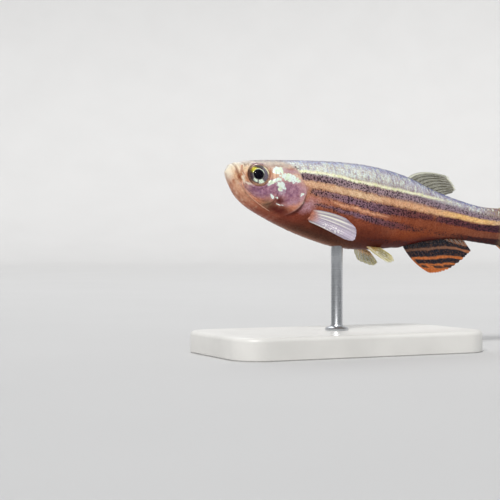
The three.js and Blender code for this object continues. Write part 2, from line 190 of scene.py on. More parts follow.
# Curves and noise
def spline(points, shares):
    """Points of the centripetal curve through the given ones, at shares of the way by its knots."""
    knots = np.array(points, float)
    knots = np.concatenate([[2 * knots[0] - knots[1]], knots, [2 * knots[-1] - knots[-2]]])
    spans = len(knots) - 3
    at = shares * spans
    i = np.minimum(at.astype(int), spans - 1)
    t = (at - i)[:, None]
    p0, p1, p2, p3 = (knots[i + k] for k in range(4))
    d0, d1, d2 = (
        np.maximum(np.linalg.norm(b - a, axis=1, keepdims=True), 1e-8) ** 0.5
        for a, b in ((p0, p1), (p1, p2), (p2, p3))
    )
    m1 = ((p1 - p0) / d0 - (p2 - p0) / (d0 + d1) + (p2 - p1) / d1) * d1
    m2 = ((p2 - p1) / d1 - (p3 - p1) / (d1 + d2) + (p3 - p2) / d2) * d1
    rise = p1 * (1 + 2 * t) * (1 - t) ** 2 + m1 * t * (1 - t) ** 2
    return rise + p2 * t**2 * (3 - 2 * t) + m2 * t**2 * (t - 1)


def line_field(points, line, samples=140, block=6000):
    """How far each point lies behind the line in the side view, and the share along the line."""
    route = spline(line, np.linspace(0, 1, samples))
    along = unit(np.gradient(route, axis=0))
    flat = points[..., [0, 2]].reshape(-1, 2)
    behind, share = np.empty((2, len(flat)))
    for start in range(0, len(flat), block):
        part = slice(start, start + block)
        dx, dz = np.moveaxis(flat[part, None] - route[None], -1, 0)
        far = np.hypot(dx, dz)
        near = far.argmin(1)
        rows = np.arange(len(near))
        cross = along[near, 0] * dz[rows, near] - along[near, 1] * dx[rows, near]
        behind[part] = np.copysign(far[rows, near], cross)
        share[part] = near / (samples - 1)
    return behind.reshape(points.shape[:-1]), share.reshape(points.shape[:-1])


NOISE_SIZE = 128


def noise(u, v, seed):
    """Smooth lumps from -1 to 1, about one for each unit of u and v."""
    table = np.random.default_rng(seed).uniform(-1, 1, (NOISE_SIZE, NOISE_SIZE))
    i, j = np.floor(u).astype(int), np.floor(v).astype(int)
    a, b = smooth(0, 1, u - i), smooth(0, 1, v - j)
    low, high = (
        table[i % NOISE_SIZE, k % NOISE_SIZE] * (1 - a) + table[(i + 1) % NOISE_SIZE, k % NOISE_SIZE] * a
        for k in (j, j + 1)
    )
    return low * (1 - b) + high * b


# Relief of the skin
FOLDS = ((CHEEK_LINE, 0.06, 0.03), (PREOPERCLE_LINE, 0.05, 0.035), (SUBOPERCLE_LINE, 0.035, 0.02))
NOSTRILS = [(1.62, 0.83, 0.15), (1.98, 0.95, 0.12)]
PECTORAL_BASE = (8.35, -3.0, 0.55)
VENT = (20.4, -4.35, 0.5)


def eye_frame(side):
    """Centre of the eye, and the directions tailwards, upwards and out of the head."""
    toe, tilt = math.radians(EYE["toe_in"]), math.radians(EYE["tilt"])
    out = unit(np.array([-math.sin(toe), side * math.cos(toe), math.sin(tilt)]))
    up = unit(np.array([0, 0, 1.0]) - out * out[2])
    tailward = unit(np.array([1.0, 0, 0]) - out * out[0] - up * up[0])
    return np.array([EYE["x"], side * EYE["y"], EYE["z"]]), tailward, up, out


def mouth_relief(points):
    """Lips and their slit, and a shallow fold behind the mouth's corner."""
    mouth, along = line_field(points, MOUTH_LINE)
    lips = 1 - smooth(0.46, 0.56, along)
    slit = lips * bump(mouth, 0.075) * (0.3 + 0.7 * smooth(0.16, 0.36, along))
    lift = lips * (0.1 * bump(mouth - 0.24, 0.14) + 0.12 * bump(mouth + 0.24, 0.16)) - 0.24 * slit
    fold = smooth(0.44, 0.54, along) * (1 - smooth(0.6, 0.85, along))
    return lift - 0.05 * fold * bump(mouth, 0.12), slit


def gill_relief(points):
    """The raised gill cover, the groove behind its rim, and the folds of the skin under the throat."""
    neck, along = line_field(points, NECK_LINE)
    flap = smooth(0.16, 0.3, along) * (1 - smooth(0.62, 0.8, along))
    flap = flap * (0.35 + 0.65 * smooth(0.36, 0.56, along))
    lift = 0.12 * flap * smooth(-1.5, 0, neck) * (neck < 0)
    lift -= 0.1 * flap * (neck >= 0) * bump(neck, 0.3)
    for k in range(1, 4):
        lift -= 0.02 * bump(neck + 0.42 * k, 0.05) * smooth(0.66, 0.74, along)
    return lift, flap * bump(neck + 0.07, 0.07)


def eye_relief(points, side):
    """The rims round the eye and the socket that it sits in."""
    centre, tailward, up, out = eye_frame(side)
    away = points - centre
    far = np.hypot(away @ tailward, away @ up) - EYE["radius"]
    near = (away @ out > -0.8) * (np.sign(points[..., 1]) == side)
    rims = 0.05 * bump(far - 0.14, 0.1) - 0.04 * bump(far - 0.37, 0.09)
    return near * (rims - 0.75 * smooth(0.06, -0.06, far))


def relief(points):
    """Lift in millimetres, and the masks of the mouth's slit and of the gill cover's rim."""
    x, z = points[..., 0], points[..., 2]
    mouth_lift, slit = mouth_relief(points)
    gill_lift, rim = gill_relief(points)
    lift = mouth_lift + gill_lift
    for line, depth, ridge in FOLDS:
        fold, along = line_field(points, line)
        fade = smooth(0, 0.12, along) * (1 - smooth(0.86, 1, along))
        lift -= fade * (depth * bump(fold, 0.07) - ridge * bump(fold + 0.16, 0.13))
    for side in SIDES.values():
        lift += eye_relief(points, side)
    for nx, nz, size in NOSTRILS:
        hole = np.hypot(x - nx, z - nz)
        lift += 0.05 * bump(hole - size * 1.15, 0.05) - 0.13 * smooth(size, size * 0.45, hole)
    for bx, bz, size in (PECTORAL_BASE, VENT):
        lift += 0.1 * bump(np.hypot(x - bx, z - bz), size)
    return lift, slit, rim


# Pigments of the skin, by place and level. Stripes are knots of place, middle and half width
STRIPES = {
    "dark_1": [
        (0.212, 0.64, 0.042), (0.25, 0.635, 0.04), (0.3, 0.625, 0.037), (0.4, 0.602, 0.037),
        (0.5, 0.577, 0.033), (0.6, 0.574, 0.035), (0.7, 0.582, 0.037), (0.8, 0.605, 0.058),
        (0.9, 0.625, 0.074), (1.0, 0.612, 0.058),
    ],
    "dark_2": [
        (0.254, 0.497, 0.024), (0.3, 0.49, 0.03), (0.4, 0.476, 0.03), (0.5, 0.45, 0.034),
        (0.6, 0.436, 0.034), (0.7, 0.426, 0.03), (0.8, 0.404, 0.05), (0.9, 0.396, 0.052),
        (1.0, 0.425, 0.066),
    ],
    "dark_3": [
        (0.27, 0.405, 0.014), (0.35, 0.398, 0.018), (0.4, 0.39, 0.02), (0.5, 0.355, 0.029),
        (0.6, 0.32, 0.034), (0.7, 0.268, 0.032), (0.8, 0.175, 0.045), (0.9, 0.12, 0.09),
        (1.0, 0.15, 0.1),
    ],
    "dark_4": [(0.47, 0.198, 0.014), (0.55, 0.18, 0.02), (0.6, 0.14, 0.034), (0.66, 0.06, 0.07)],
    "lemon": [
        (0.2, 0.69, 0.014), (0.25, 0.694, 0.016), (0.3, 0.688, 0.016), (0.35, 0.672, 0.016),
        (0.4, 0.65, 0.015), (0.5, 0.629, 0.015), (0.6, 0.631, 0.015), (0.65, 0.645, 0.016),
        (0.7, 0.668, 0.018), (0.75, 0.705, 0.022), (0.82, 0.745, 0.024),
    ],
    "gold": [
        (0.22, 0.566, 0.026), (0.3, 0.556, 0.028), (0.4, 0.532, 0.025), (0.5, 0.515, 0.022),
        (0.6, 0.503, 0.024), (0.7, 0.497, 0.03), (0.8, 0.497, 0.036), (0.9, 0.512, 0.04),
        (1.0, 0.53, 0.045),
    ],
    "orange": [
        (0.25, 0.442, 0.02), (0.3, 0.438, 0.02), (0.4, 0.427, 0.018), (0.5, 0.402, 0.02),
        (0.6, 0.378, 0.024), (0.7, 0.35, 0.036), (0.8, 0.288, 0.06), (0.9, 0.278, 0.064),
        (1.0, 0.3, 0.05),
    ],
    # A painted sheen: a thin line of pink glints along the middle of the orange band.
    "sheen_line": [
        (0.33, 0.441, 0.007), (0.4, 0.43, 0.008), (0.46, 0.414, 0.008), (0.5, 0.404, 0.007),
        (0.54, 0.395, 0.006),
    ],
}


def stripe(name, place, level, soft):
    """1 inside the band that the knots describe, which fades out behind its last knot."""
    places, middles, halves = np.array(STRIPES[name]).T
    middle = np.interp(place, places, middles)
    half = np.interp(place, places, halves)
    ends = smooth(places[0] - 0.008, places[0] + 0.012, place)
    if places[-1] < 1:
        ends = ends * (1 - smooth(places[-1] - 0.04, places[-1] + 0.02, place))
    return ends * (1 - smooth(half - soft, half + soft, np.abs(level - middle)))


# Patches, most of them on the head: middle as place and level, reach along and up, how far the top
# leans towards the tail, how soft the edge is, and how much it covers
PATCHES = {
    # Partly the real silver of the gill cover, partly painted glints where it catches the light.
    "silver": [
        ((0.149, 0.67), (0.0165, 0.052), 0.1, 0.45, 1), ((0.188, 0.592), (0.028, 0.046), -0.14, 0.5, 1),
        ((0.136, 0.52), (0.011, 0.055), 0.28, 0.5, 1), ((0.152, 0.556), (0.01, 0.018), 0.3, 0.5, 0.9),
        ((0.161, 0.478), (0.012, 0.055), -0.05, 0.8, 0.85), ((0.171, 0.473), (0.009, 0.014), 0.0, 0.6, 0.8),
        ((0.137, 0.363), (0.0055, 0.022), -0.15, 0.5, 1), ((0.152, 0.366), (0.004, 0.007), 0.0, 0.5, 1),
        ((0.166, 0.305), (0.014, 0.005), 0.5, 0.5, 1), ((0.227, 0.445), (0.004, 0.013), 0.3, 0.8, 0.9),
        ((0.204, 0.815), (0.02, 0.03), 0.0, 0.9, 0.55),
    ],
    "violet": [
        ((0.19, 0.465), (0.052, 0.105), 0.1, 0.6, 1), ((0.108, 0.4), (0.05, 0.09), 0.2, 0.6, 1),
        ((0.15, 0.45), (0.06, 0.09), 0.0, 0.7, 1), ((0.088, 0.765), (0.022, 0.02), 0.0, 0.6, 1),
        ((0.09, 0.335), (0.04, 0.05), 0.1, 0.7, 0.85), ((0.2, 0.4), (0.03, 0.08), 0.35, 0.7, 0.9),
        ((0.187, 0.675), (0.026, 0.035), -0.1, 0.9, 0.45),
    ],
    "blood_and_belly_shade": [
        ((0.165, 0.242), (0.03, 0.058), 0.2, 0.7, 1), ((0.162, 0.342), (0.016, 0.034), 0.1, 0.8, 1),
        ((0.148, 0.3), (0.01, 0.03), 0.1, 0.8, 0.7),
    ],
    "mauve": [
        ((0.254, 0.372), (0.018, 0.055), 0.25, 0.9, 0.95), ((0.236, 0.47), (0.008, 0.08), 0.1, 0.9, 0.6),
        ((0.185, 0.68), (0.03, 0.03), -0.1, 0.9, 0.7), ((0.201, 0.355), (0.01, 0.05), 0.4, 0.9, 0.7),
    ],
    "throat": [
        ((0.16, 0.1), (0.05, 0.12), 0.15, 0.7, 0.8), ((0.205, 0.22), (0.04, 0.08), 0.3, 0.7, 0.9),
        ((0.12, 0.06), (0.03, 0.08), 0.1, 0.9, 0.85),
    ],
    "olive": [
        ((0.133, 0.25), (0.022, 0.065), 0.1, 0.7, 1), ((0.095, 0.345), (0.035, 0.04), 0.1, 0.8, 0.7),
    ],
    # Rust-brown patches in the skin's colour; the crease behind the mouth is added to them as painted
    # shade.
    "rust_and_crease_shade": [
        ((0.036, 0.5), (0.004, 0.11), 0.0, 0.6, 0.9), ((0.0215, 0.53), (0.003, 0.08), 0.0, 0.6, 0.8),
        ((0.029, 0.42), (0.0025, 0.06), 0.0, 0.6, 0.8), ((0.055, 0.54), (0.006, 0.06), 0.0, 0.7, 0.8),
        ((0.022, 0.25), (0.004, 0.05), 0.0, 0.8, 0.5), ((0.124, 0.63), (0.005, 0.07), 0.0, 0.8, 0.8),
        ((0.192, 0.708), (0.011, 0.02), 0.0, 0.8, 0.6), ((0.057, 0.49), (0.006, 0.05), 0.0, 0.7, 0.8),
        ((0.665, 0.225), (0.09, 0.06), 0.0, 0.9, 0.9),
    ],
    # Partly pale skin, partly painted highlights: the wet shine on the snout's top and lips, and a spot on
    # the gill cover's edge.
    "pale": [
        ((0.0, 0.45), (0.014, 0.5), 0.0, 0.7, 0.8), ((0.014, 0.86), (0.016, 0.13), 0.0, 0.7, 0.8),
        ((0.045, 0.46), (0.004, 0.11), 0.0, 0.8, 0.7), ((0.062, 0.41), (0.01, 0.014), 0.0, 0.8, 0.7),
        ((0.12, 0.8), (0.05, 0.04), 0.0, 0.9, 0.25), ((0.024, 0.66), (0.012, 0.13), 0.0, 0.9, 0.5),
        ((0.236, 0.392), (0.004, 0.01), 0.2, 0.9, 0.6),
    ],
}


def patches(name, place, level):
    """The cover of the soft ellipses of the unrolled skin that the pigment's list describes."""
    cover = np.zeros_like(place)
    for (at_place, at_level), (along, up), lean, edge, most in PATCHES[name]:
        u = (place - at_place - lean * (level - at_level)) / along
        v = (level - at_level) / up
        cover = np.maximum(cover, most * (1 - smooth(1 - edge, 1 + edge, np.hypot(u, v))))
    return cover


def dark_cells(place, level, wave, near, trunk):
    """The dark stripes with their weak places, the spot behind the head and the tail's underside."""
    weak = smooth(0.56, 0.7, place) * (1 - smooth(0.78, 0.9, place))
    stripes = (
        (0.95 - 0.1 * smooth(0.28, 0.36, place)) * stripe("dark_1", place, wave, 0.019)
        + (0.85 + 0.15 * smooth(0.44, 0.54, place)) * stripe("dark_2", place, wave, 0.019)
        + (0.88 - 0.35 * weak) * stripe("dark_3", place, wave, 0.02)
        + 0.6 * stripe("dark_4", place, wave, 0.016)
    )
    stripes = stripes * (1 - 0.6 * bump(near - 0.722, 0.012) * bump(level - 0.42, 0.05))
    stripes = stripes * (1 - 0.4 * smooth(0.72, 0.9, place) * smooth(0.56, 0.66, level))
    spot = 1 - smooth(0.6, 1.5, np.hypot((near - 0.209) / 0.012, (wave - 0.735) / 0.024))
    under_tail = smooth(0.86, 1.0, place) * smooth(0.24, 0.1, level)
    return np.clip(stripes * trunk + 0.55 * spot + under_tail, 0, 1)


def pigments(points, place, level):
    """The masks that the skin's shader mixes, each from 0 to 1."""
    wave = level + 0.005 * noise(place * 85, level * 14, 3) + 0.005 * noise(place * 230, level * 44, 4)
    near = place + 0.003 * noise(place * 150, level * 34, 5)
    masks = {name: patches(name, near, wave) for name in PATCHES}

    neck, _ = line_field(points, NECK_LINE, samples=60)
    nape = smooth(0.7, 0.86, level)
    ragged = neck + 0.25 * nape * noise(place * 90, level * 30, 6)
    head = 1 - smooth(-0.15 - 1.6 * nape, 0.25 + 0.5 * nape, ragged)
    trunk = 1 - head
    mouth, along = line_field(points, MOUTH_LINE, samples=60)
    # Painted shade in the crease behind the mouth's corner.
    crease_shade = bump(mouth - 0.45, 0.16) * smooth(0.28, 0.36, along) * (1 - smooth(0.5, 0.58, along))
    groove = bump(neck - 0.12, 0.2) * smooth(0.46, 0.3, level) * smooth(0.12, 0.3, level)
    # The lower belly's dark red: partly its colour, partly painted shade under the body.
    belly_red_and_shade = smooth(0.27, 0.14, level) * smooth(0.4, 0.47, place) * (1 - smooth(0.62, 0.76, place))
    bottom = 0.19 - 0.11 * smooth(0.66, 0.78, place)
    belly = smooth(0.36, 0.29, level) * smooth(bottom, bottom + 0.09, level) * smooth(0.5, 0.6, place)
    lemon = stripe("lemon", place, wave, 0.011) * (1 - 0.75 * smooth(0.66, 0.8, place))
    # Painted sheen line, broken up by noise.
    sheen_line = stripe("sheen_line", place, wave, 0.005) * (0.6 + 0.4 * noise(place * 260, level * 9, 8))
    orange = 0.8 * trunk * stripe("orange", place, wave, 0.012)
    return {
        **masks, "place": place, "level": level, "head": head,
        "melanin": dark_cells(place, level, wave, near, trunk), "lemon": lemon * trunk,
        "gold": stripe("gold", place, wave, 0.011) * trunk, "sheen_line": sheen_line * trunk,
        "orange": np.maximum(orange, 0.85 * belly), "violet": masks["violet"] * head,
        "blood_and_belly_shade": np.maximum.reduce([masks["blood_and_belly_shade"], 0.75 * groove, 0.6 * belly_red_and_shade]),
        "rust_and_crease_shade": np.maximum(masks["rust_and_crease_shade"], 0.4 * crease_shade),
    }


# Meshes
MARGIN = 0.02


def make_piece(name, points, faces, fields=None, corners=None, sharp=None):
    """A smooth mesh of points in metres, with its masks, its unwrap and its sharp edges' angle."""
    mesh = bpy.data.meshes.new(name)
    mesh.from_pydata(np.asarray(points).tolist(), [], faces)
    for field, values in (fields or {}).items():
        layer = mesh.attributes.new(field, "FLOAT", "POINT")
        layer.data.foreach_set("value", np.ascontiguousarray(values, np.float32).ravel())
    if corners is not None:
        layer = mesh.uv_layers.new(name="OFBake")
        layer.uv.foreach_set("vector", np.ascontiguousarray(corners, np.float32).ravel())
    mesh.polygons.foreach_set("use_smooth", np.ones(len(mesh.polygons), bool))
    if sharp:
        mesh.set_sharp_from_angle(angle=math.radians(sharp))
    mesh.update()
    piece = bpy.data.objects.new(name, mesh)
    bpy.context.scene.collection.objects.link(piece)
    return piece


def grid_faces(rows, columns):
    """Rows and columns of the four corners of each quad of a grid."""
    i, j = np.meshgrid(np.arange(rows - 1), np.arange(columns - 1), indexing="ij")
    i, j = i.ravel(), j.ravel()
    return np.stack([i, i + 1, i + 1, i], -1), np.stack([j, j, j + 1, j + 1], -1)


def tube_faces(rows, sides, ends, flipped=False):
    """Faces of a stack of closed rings. The ends are open, flat, or a fan to a point of their own."""
    i, j = grid_faces(rows, sides + 1)
    faces = (i * sides + j % sides).tolist()
    middle = rows * sides
    for start, end in zip((0, middle - sides), ends):
        ring = list(range(start, start + sides))
        if start:
            ring.reverse()
        if end == "fan":
            faces += [[middle, a, b] for a, b in zip(ring, ring[1:] + ring[:1])]
            middle += 1
        if end == "flat":
            faces.append(ring)
    return [face[::-1] for face in faces] if flipped else faces


def with_ends(values, count=2):
    """The values of a stack of rings, and the means of its first and last ring for the fans' points."""
    means = values[[0, -1]].mean(1)
    return np.concatenate([values.reshape(-1, *values.shape[2:]), means[:count]])


def round_rings(outline, sides):
    """Rings about the upright axis through radii and heights."""
    angle = turns(sides)
    return np.array([
        np.stack([radius * np.cos(angle), radius * np.sin(angle), 0 * angle + height], -1)
        for radius, height in outline
    ])


def grid_rim(rows, columns):
    """The numbers of a grid's points round its edge."""
    down, right = np.arange(rows - 1), np.arange(columns - 1)
    row = np.concatenate([down, 0 * right + rows - 1, rows - 1 - down, 0 * right])
    column = np.concatenate([0 * down, right, 0 * down + columns - 1, columns - 1 - right])
    return row * columns + column


def leaves(top, bottom, top_uv, bottom_uv):
    """Closed leaves between two stacks of grids, whose rims take the upper face's unwrap."""
    count, rows, columns = top.shape[:3]
    side = rows * columns
    i, j = grid_faces(rows, columns)
    flat = i * columns + j
    ring = grid_rim(rows, columns)
    following = np.roll(ring, -1)
    rim = np.stack([ring, ring + side, following + side, following], -1)
    faces = np.concatenate([flat, flat[:, ::-1] + side, rim])
    starts = (np.arange(count) * 2 * side)[:, None, None]
    faces = (faces[None] + starts).reshape(-1, 4)
    top_uv, bottom_uv = top_uv.reshape(count, side, 2), bottom_uv.reshape(count, side, 2)
    rim_uv = top_uv[:, np.stack([ring, ring, following, following], -1)]
    corners = np.concatenate([top_uv[:, flat], bottom_uv[:, flat[:, ::-1]], rim_uv], 1)
    a, b, d = (top[0].reshape(-1, 3)[flat[:, k]] for k in (0, 1, 3))
    outward = (top[0] - bottom[0]).reshape(-1, 3)[flat[:, 0]]
    if (np.cross(b - a, d - a) * outward).sum() < 0:
        faces = faces[:, ::-1]
        corners = corners[:, :, ::-1]
    return np.stack([top, bottom], 1).reshape(-1, 3), faces.tolist(), corners.reshape(-1, 2)


def leaf_piece(name, top, bottom, top_uv, bottom_uv, fields, sharp):
    """The piece of closed leaves, with the same masks on both faces."""
    points, faces, corners = leaves(top, bottom, top_uv, bottom_uv)
    both = {
        field: np.stack([np.broadcast_to(values, top.shape[:-1])] * 2, 1)
        for field, values in fields.items()
    }
    return make_piece(name, to_row(points), faces, both, corners, sharp)


# Skin
SKIN_RINGS = 395
SKIN_SIDES = 240
HEAD_CROWDING = 2.6
TAIL_REACH = 1.3
TAIL_RINGS = 14
TAIL_PLACES = 0.03


def ring_places():
    """Places of the rings: evenly along the surface, and closer together on the head."""
    place = np.linspace(0, 1, 6000) ** 2
    outlines = np.stack([place, back_at(place), belly_at(place), width_at(place)], -1)
    steps = np.abs(np.diff(outlines, axis=0)).max(1)
    crowd = 1 + (HEAD_CROWDING - 1) * smooth(0.34, 0.24, (place[1:] + place[:-1]) / 2)
    travelled = np.concatenate([[0], np.cumsum(steps * crowd)])
    shares = np.arange(1, SKIN_RINGS + 1) / SKIN_RINGS
    return np.interp(shares * travelled[-1], travelled, place)


def tail_rings(last, share):
    """Rings that close the skin over the root of the tail fin, thin and rounded at the end."""
    x, y, z = last.T
    height = np.abs(z) / np.abs(z).max()
    return np.stack([
        x + TAIL_REACH * share * (1 - 0.35 * height**2),
        y * (0.06 + 0.94 * np.sqrt(1 - share**1.5)), z * (1 - 0.04 * share),
    ], -1)


def skin_piece():
    """One skin from the lips to the root of the tail fin."""
    places = ring_places()[:, None]
    angles = turns(SKIN_SIDES)[None, :] - math.pi / 2
    smooth_body = body_points(places, angles)
    lift, *folds = relief(smooth_body)
    points = smooth_body + body_normals(places, angles) * lift[..., None]
    share = np.arange(1, TAIL_RINGS + 1)[:, None] / TAIL_RINGS
    points = np.concatenate([points, tail_rings(points[-1], share)])
    places = np.concatenate([places, 1 + TAIL_PLACES * share])

    rings = len(points)
    place = np.broadcast_to(places, points.shape[:2])
    level = np.broadcast_to(1 - np.abs(np.arange(SKIN_SIDES) / SKIN_SIDES - 0.5) * 2, place.shape)
    fields = pigments(points, place, level)
    for field, values in zip(("slit", "rim"), folds):
        fields[field] = np.concatenate([values, np.zeros((TAIL_RINGS, SKIN_SIDES))])
    fields = {field: with_ends(values) for field, values in fields.items()}

    i, j = grid_faces(rings, SKIN_SIDES + 1)
    corners = np.stack([MARGIN + (1 - 2 * MARGIN) * i / (rings - 1), j / SKIN_SIDES], -1)[:, ::-1]
    snout, tail = (np.full((3 * SKIN_SIDES, 2), u) for u in (MARGIN / 4, 1 - MARGIN / 4))
    corners = np.concatenate([corners.reshape(-1, 2), snout, tail])
    faces = tube_faces(rings, SKIN_SIDES, ("fan", "fan"), flipped=True)
    return make_piece("skin", to_row(with_ends(points)), faces, fields, corners)


# Scales: plates in rows along the body, each with its root sunk under the one before it
SCALE_SPACING = 0.92
SCALE_HEIGHT = 0.92
SCALE_LEAST = 0.58
SCALE_START = 0.195
SCALE_END = 1.03
SCALE_LENGTH = 1.62
SCALE_SUNK = 0.35
SCALE_THICKNESS = 0.014
SCALE_RISE = (-0.03, 0.026)
SCALE_GRID = (15, 10)
SCALE_ROWS = 8


def flank_arcs(samples=240, steps=64):
    """For each place, the flank's length from its middle up and down, and the angles along it."""
    places = np.linspace(0, 1, samples)
    arcs = {}
    for name, end in (("up", math.pi / 2), ("down", -math.pi / 2)):
        angles = np.linspace(0, end, 4 * steps)
        route = body_points(places[:, None], angles[None, :])
        lengths = np.linalg.norm(np.diff(route, axis=1), axis=2)
        total = np.concatenate([np.zeros((samples, 1)), np.cumsum(lengths, 1)], 1)
        shares = np.linspace(0, 1, steps)
        turned = [np.interp(shares * row[-1], row, angles) for row in total]
        arcs[name] = (total[:, -1], np.array(turned))
    return places, arcs


ARC_PLACES, ARCS = flank_arcs()


def arc_reach(place, name):
    return np.interp(place, ARC_PLACES, ARCS[name][0])


def angle_at(place, arc):
    """The angle at an arc length over the middle of the flank."""
    at = np.clip(place, 0, 1) * (len(ARC_PLACES) - 1)
    i = np.minimum(at.astype(int), len(ARC_PLACES) - 2)
    blend = at - i
    angle = np.zeros_like(arc)
    for name, part in (("up", arc >= 0), ("down", arc < 0)):
        total, turned = ARCS[name]
        reach = total[i] * (1 - blend) + total[i + 1] * blend
        share = np.clip(np.abs(arc) / np.maximum(reach, 1e-6), 0, 1) * (turned.shape[1] - 1)
        j = np.minimum(share.astype(int), turned.shape[1] - 2)
        rest = share - j
        low = turned[i, j] * (1 - rest) + turned[i, j + 1] * rest
        high = turned[i + 1, j] * (1 - rest) + turned[i + 1, j + 1] * rest
        angle = np.where(part, low * (1 - blend) + high * blend, angle)
    return angle


def scale_roots():
    """Place, arc and half height of each scale of one side, from the gill cover to the tail fin."""
    roots = []
    girth = ARCS["up"][0] + ARCS["down"][0]
    columns = int((1.0 - SCALE_START) * BODY_LENGTH / SCALE_SPACING)
    for row in range(-SCALE_ROWS, SCALE_ROWS + 1):
        for column in range(columns):
            place = SCALE_START + (column + 0.5 * (row % 2)) * SCALE_SPACING / BODY_LENGTH
            if place > 1.0:
                continue
            share = np.interp(place, ARC_PLACES, girth) / girth.max()
            height = SCALE_HEIGHT * (SCALE_LEAST + (1 - SCALE_LEAST) * share)
            arc = row * height
            if abs(arc) > arc_reach(place, "up" if row >= 0 else "down") - 0.3 * height:
                continue
            point = body_points(place, angle_at(np.array([place]), np.array([arc])))
            neck, _ = line_field(point, NECK_LINE)
            if neck[0] > 0.45:
                roots.append((place, arc, 1.04 * height))
    return np.array(roots)


def scale_unwrap(place, arc, length, across):
    """Unwraps of both faces: each scale is a small patch at its root's place on the flank."""
    per_place = (1 - 3 * MARGIN) / (SCALE_END - SCALE_START)
    per_arc = 1 / (2.3 * max(total.max() for total, _ in ARCS.values()))
    u = MARGIN + (place - SCALE_START) * per_place
    v = 0.5 + (arc + 0.4 * SCALE_HEIGHT * SCALE_LEAST * across) * per_arc
    wide = 0.9 * SCALE_SPACING / BODY_LENGTH * per_place
    shares = (0.72 * length, 0.76 + 0.2 * length)
    return (np.stack(np.broadcast_arrays(u + wide * share, v), -1) for share in shares)


def scale_piece(name, roots, side, seed):
    """All scales of one side, each a thin plate that lifts towards its round end."""
    draws = np.random.default_rng(seed)
    each = (len(roots), 1, 1)
    across = np.linspace(-1, 1, SCALE_GRID[0])[None, :, None]
    length = np.linspace(0, 1, SCALE_GRID[1])[None, None, :]
    place, arc, half = (roots[:, k, None, None] for k in range(3))
    size = 1 + 0.06 * draws.uniform(-1, 1, each)
    rounding = 1 - 0.36 * np.abs(across) ** 2.2
    run = SCALE_LENGTH * SCALE_SPACING / BODY_LENGTH * size
    at = place + run * (length * rounding - SCALE_SUNK)
    lean = 0.05 * draws.uniform(-1, 1, each)
    wide = half * (0.8 + 0.2 * np.sin(math.pi * (0.8 * length + 0.1)))
    off = arc + wide * across + lean * length
    off = np.clip(off, -0.998 * arc_reach(at, "down"), 0.998 * arc_reach(at, "up"))
    angle = angle_at(at, off)
    tilt = draws.uniform(0.8, 1.25, each)
    low, high = SCALE_RISE
    rise = tilt * (low + (high - low) * length * rounding) - 0.008 * across**2

    base = body_points(np.minimum(at, 1.0), angle)
    base[..., 0] = at * BODY_LENGTH
    outward = body_normals(np.minimum(at, 0.998), angle)
    top = base + outward * (rise + relief(base)[0])[..., None]
    bottom = top - outward * (SCALE_THICKNESS * (1 - 0.7 * length**4))[..., None]
    fields = pigments(base, at, angle / math.pi + 0.5)
    fields["edge"] = smooth(0.55, 1.0, length)
    # Each scale's random share of the painted glint.
    fields["glint"] = draws.uniform(0, 1, each)
    if side > 0:
        top, bottom = top * MIRROR, bottom * MIRROR
    return leaf_piece(name, top, bottom, *scale_unwrap(place, arc, length, across), fields, sharp=40)


# Fins: one thin leaf each, raised along its rays, which branch on the way to the edge. The right fin
# of a pair mirrors the left one and is turned about its root by degrees about x and about y
ROOT_SINK = 0.5
MEMBRANE_HALF = 0.018
RAY_RADIUS = (0.06, 0.02)
COLUMNS_PER_RAY = 14
BRANCHING = ((0.42, 0.21), (0.72, 0.1))
EDGE_DIP = 0.022
FLESHY_REACH = 0.3


def on_outline(at, place, sink):
    return (place * BODY_LENGTH, 0.0, float(at(place)) * BODY_LENGTH + sink)


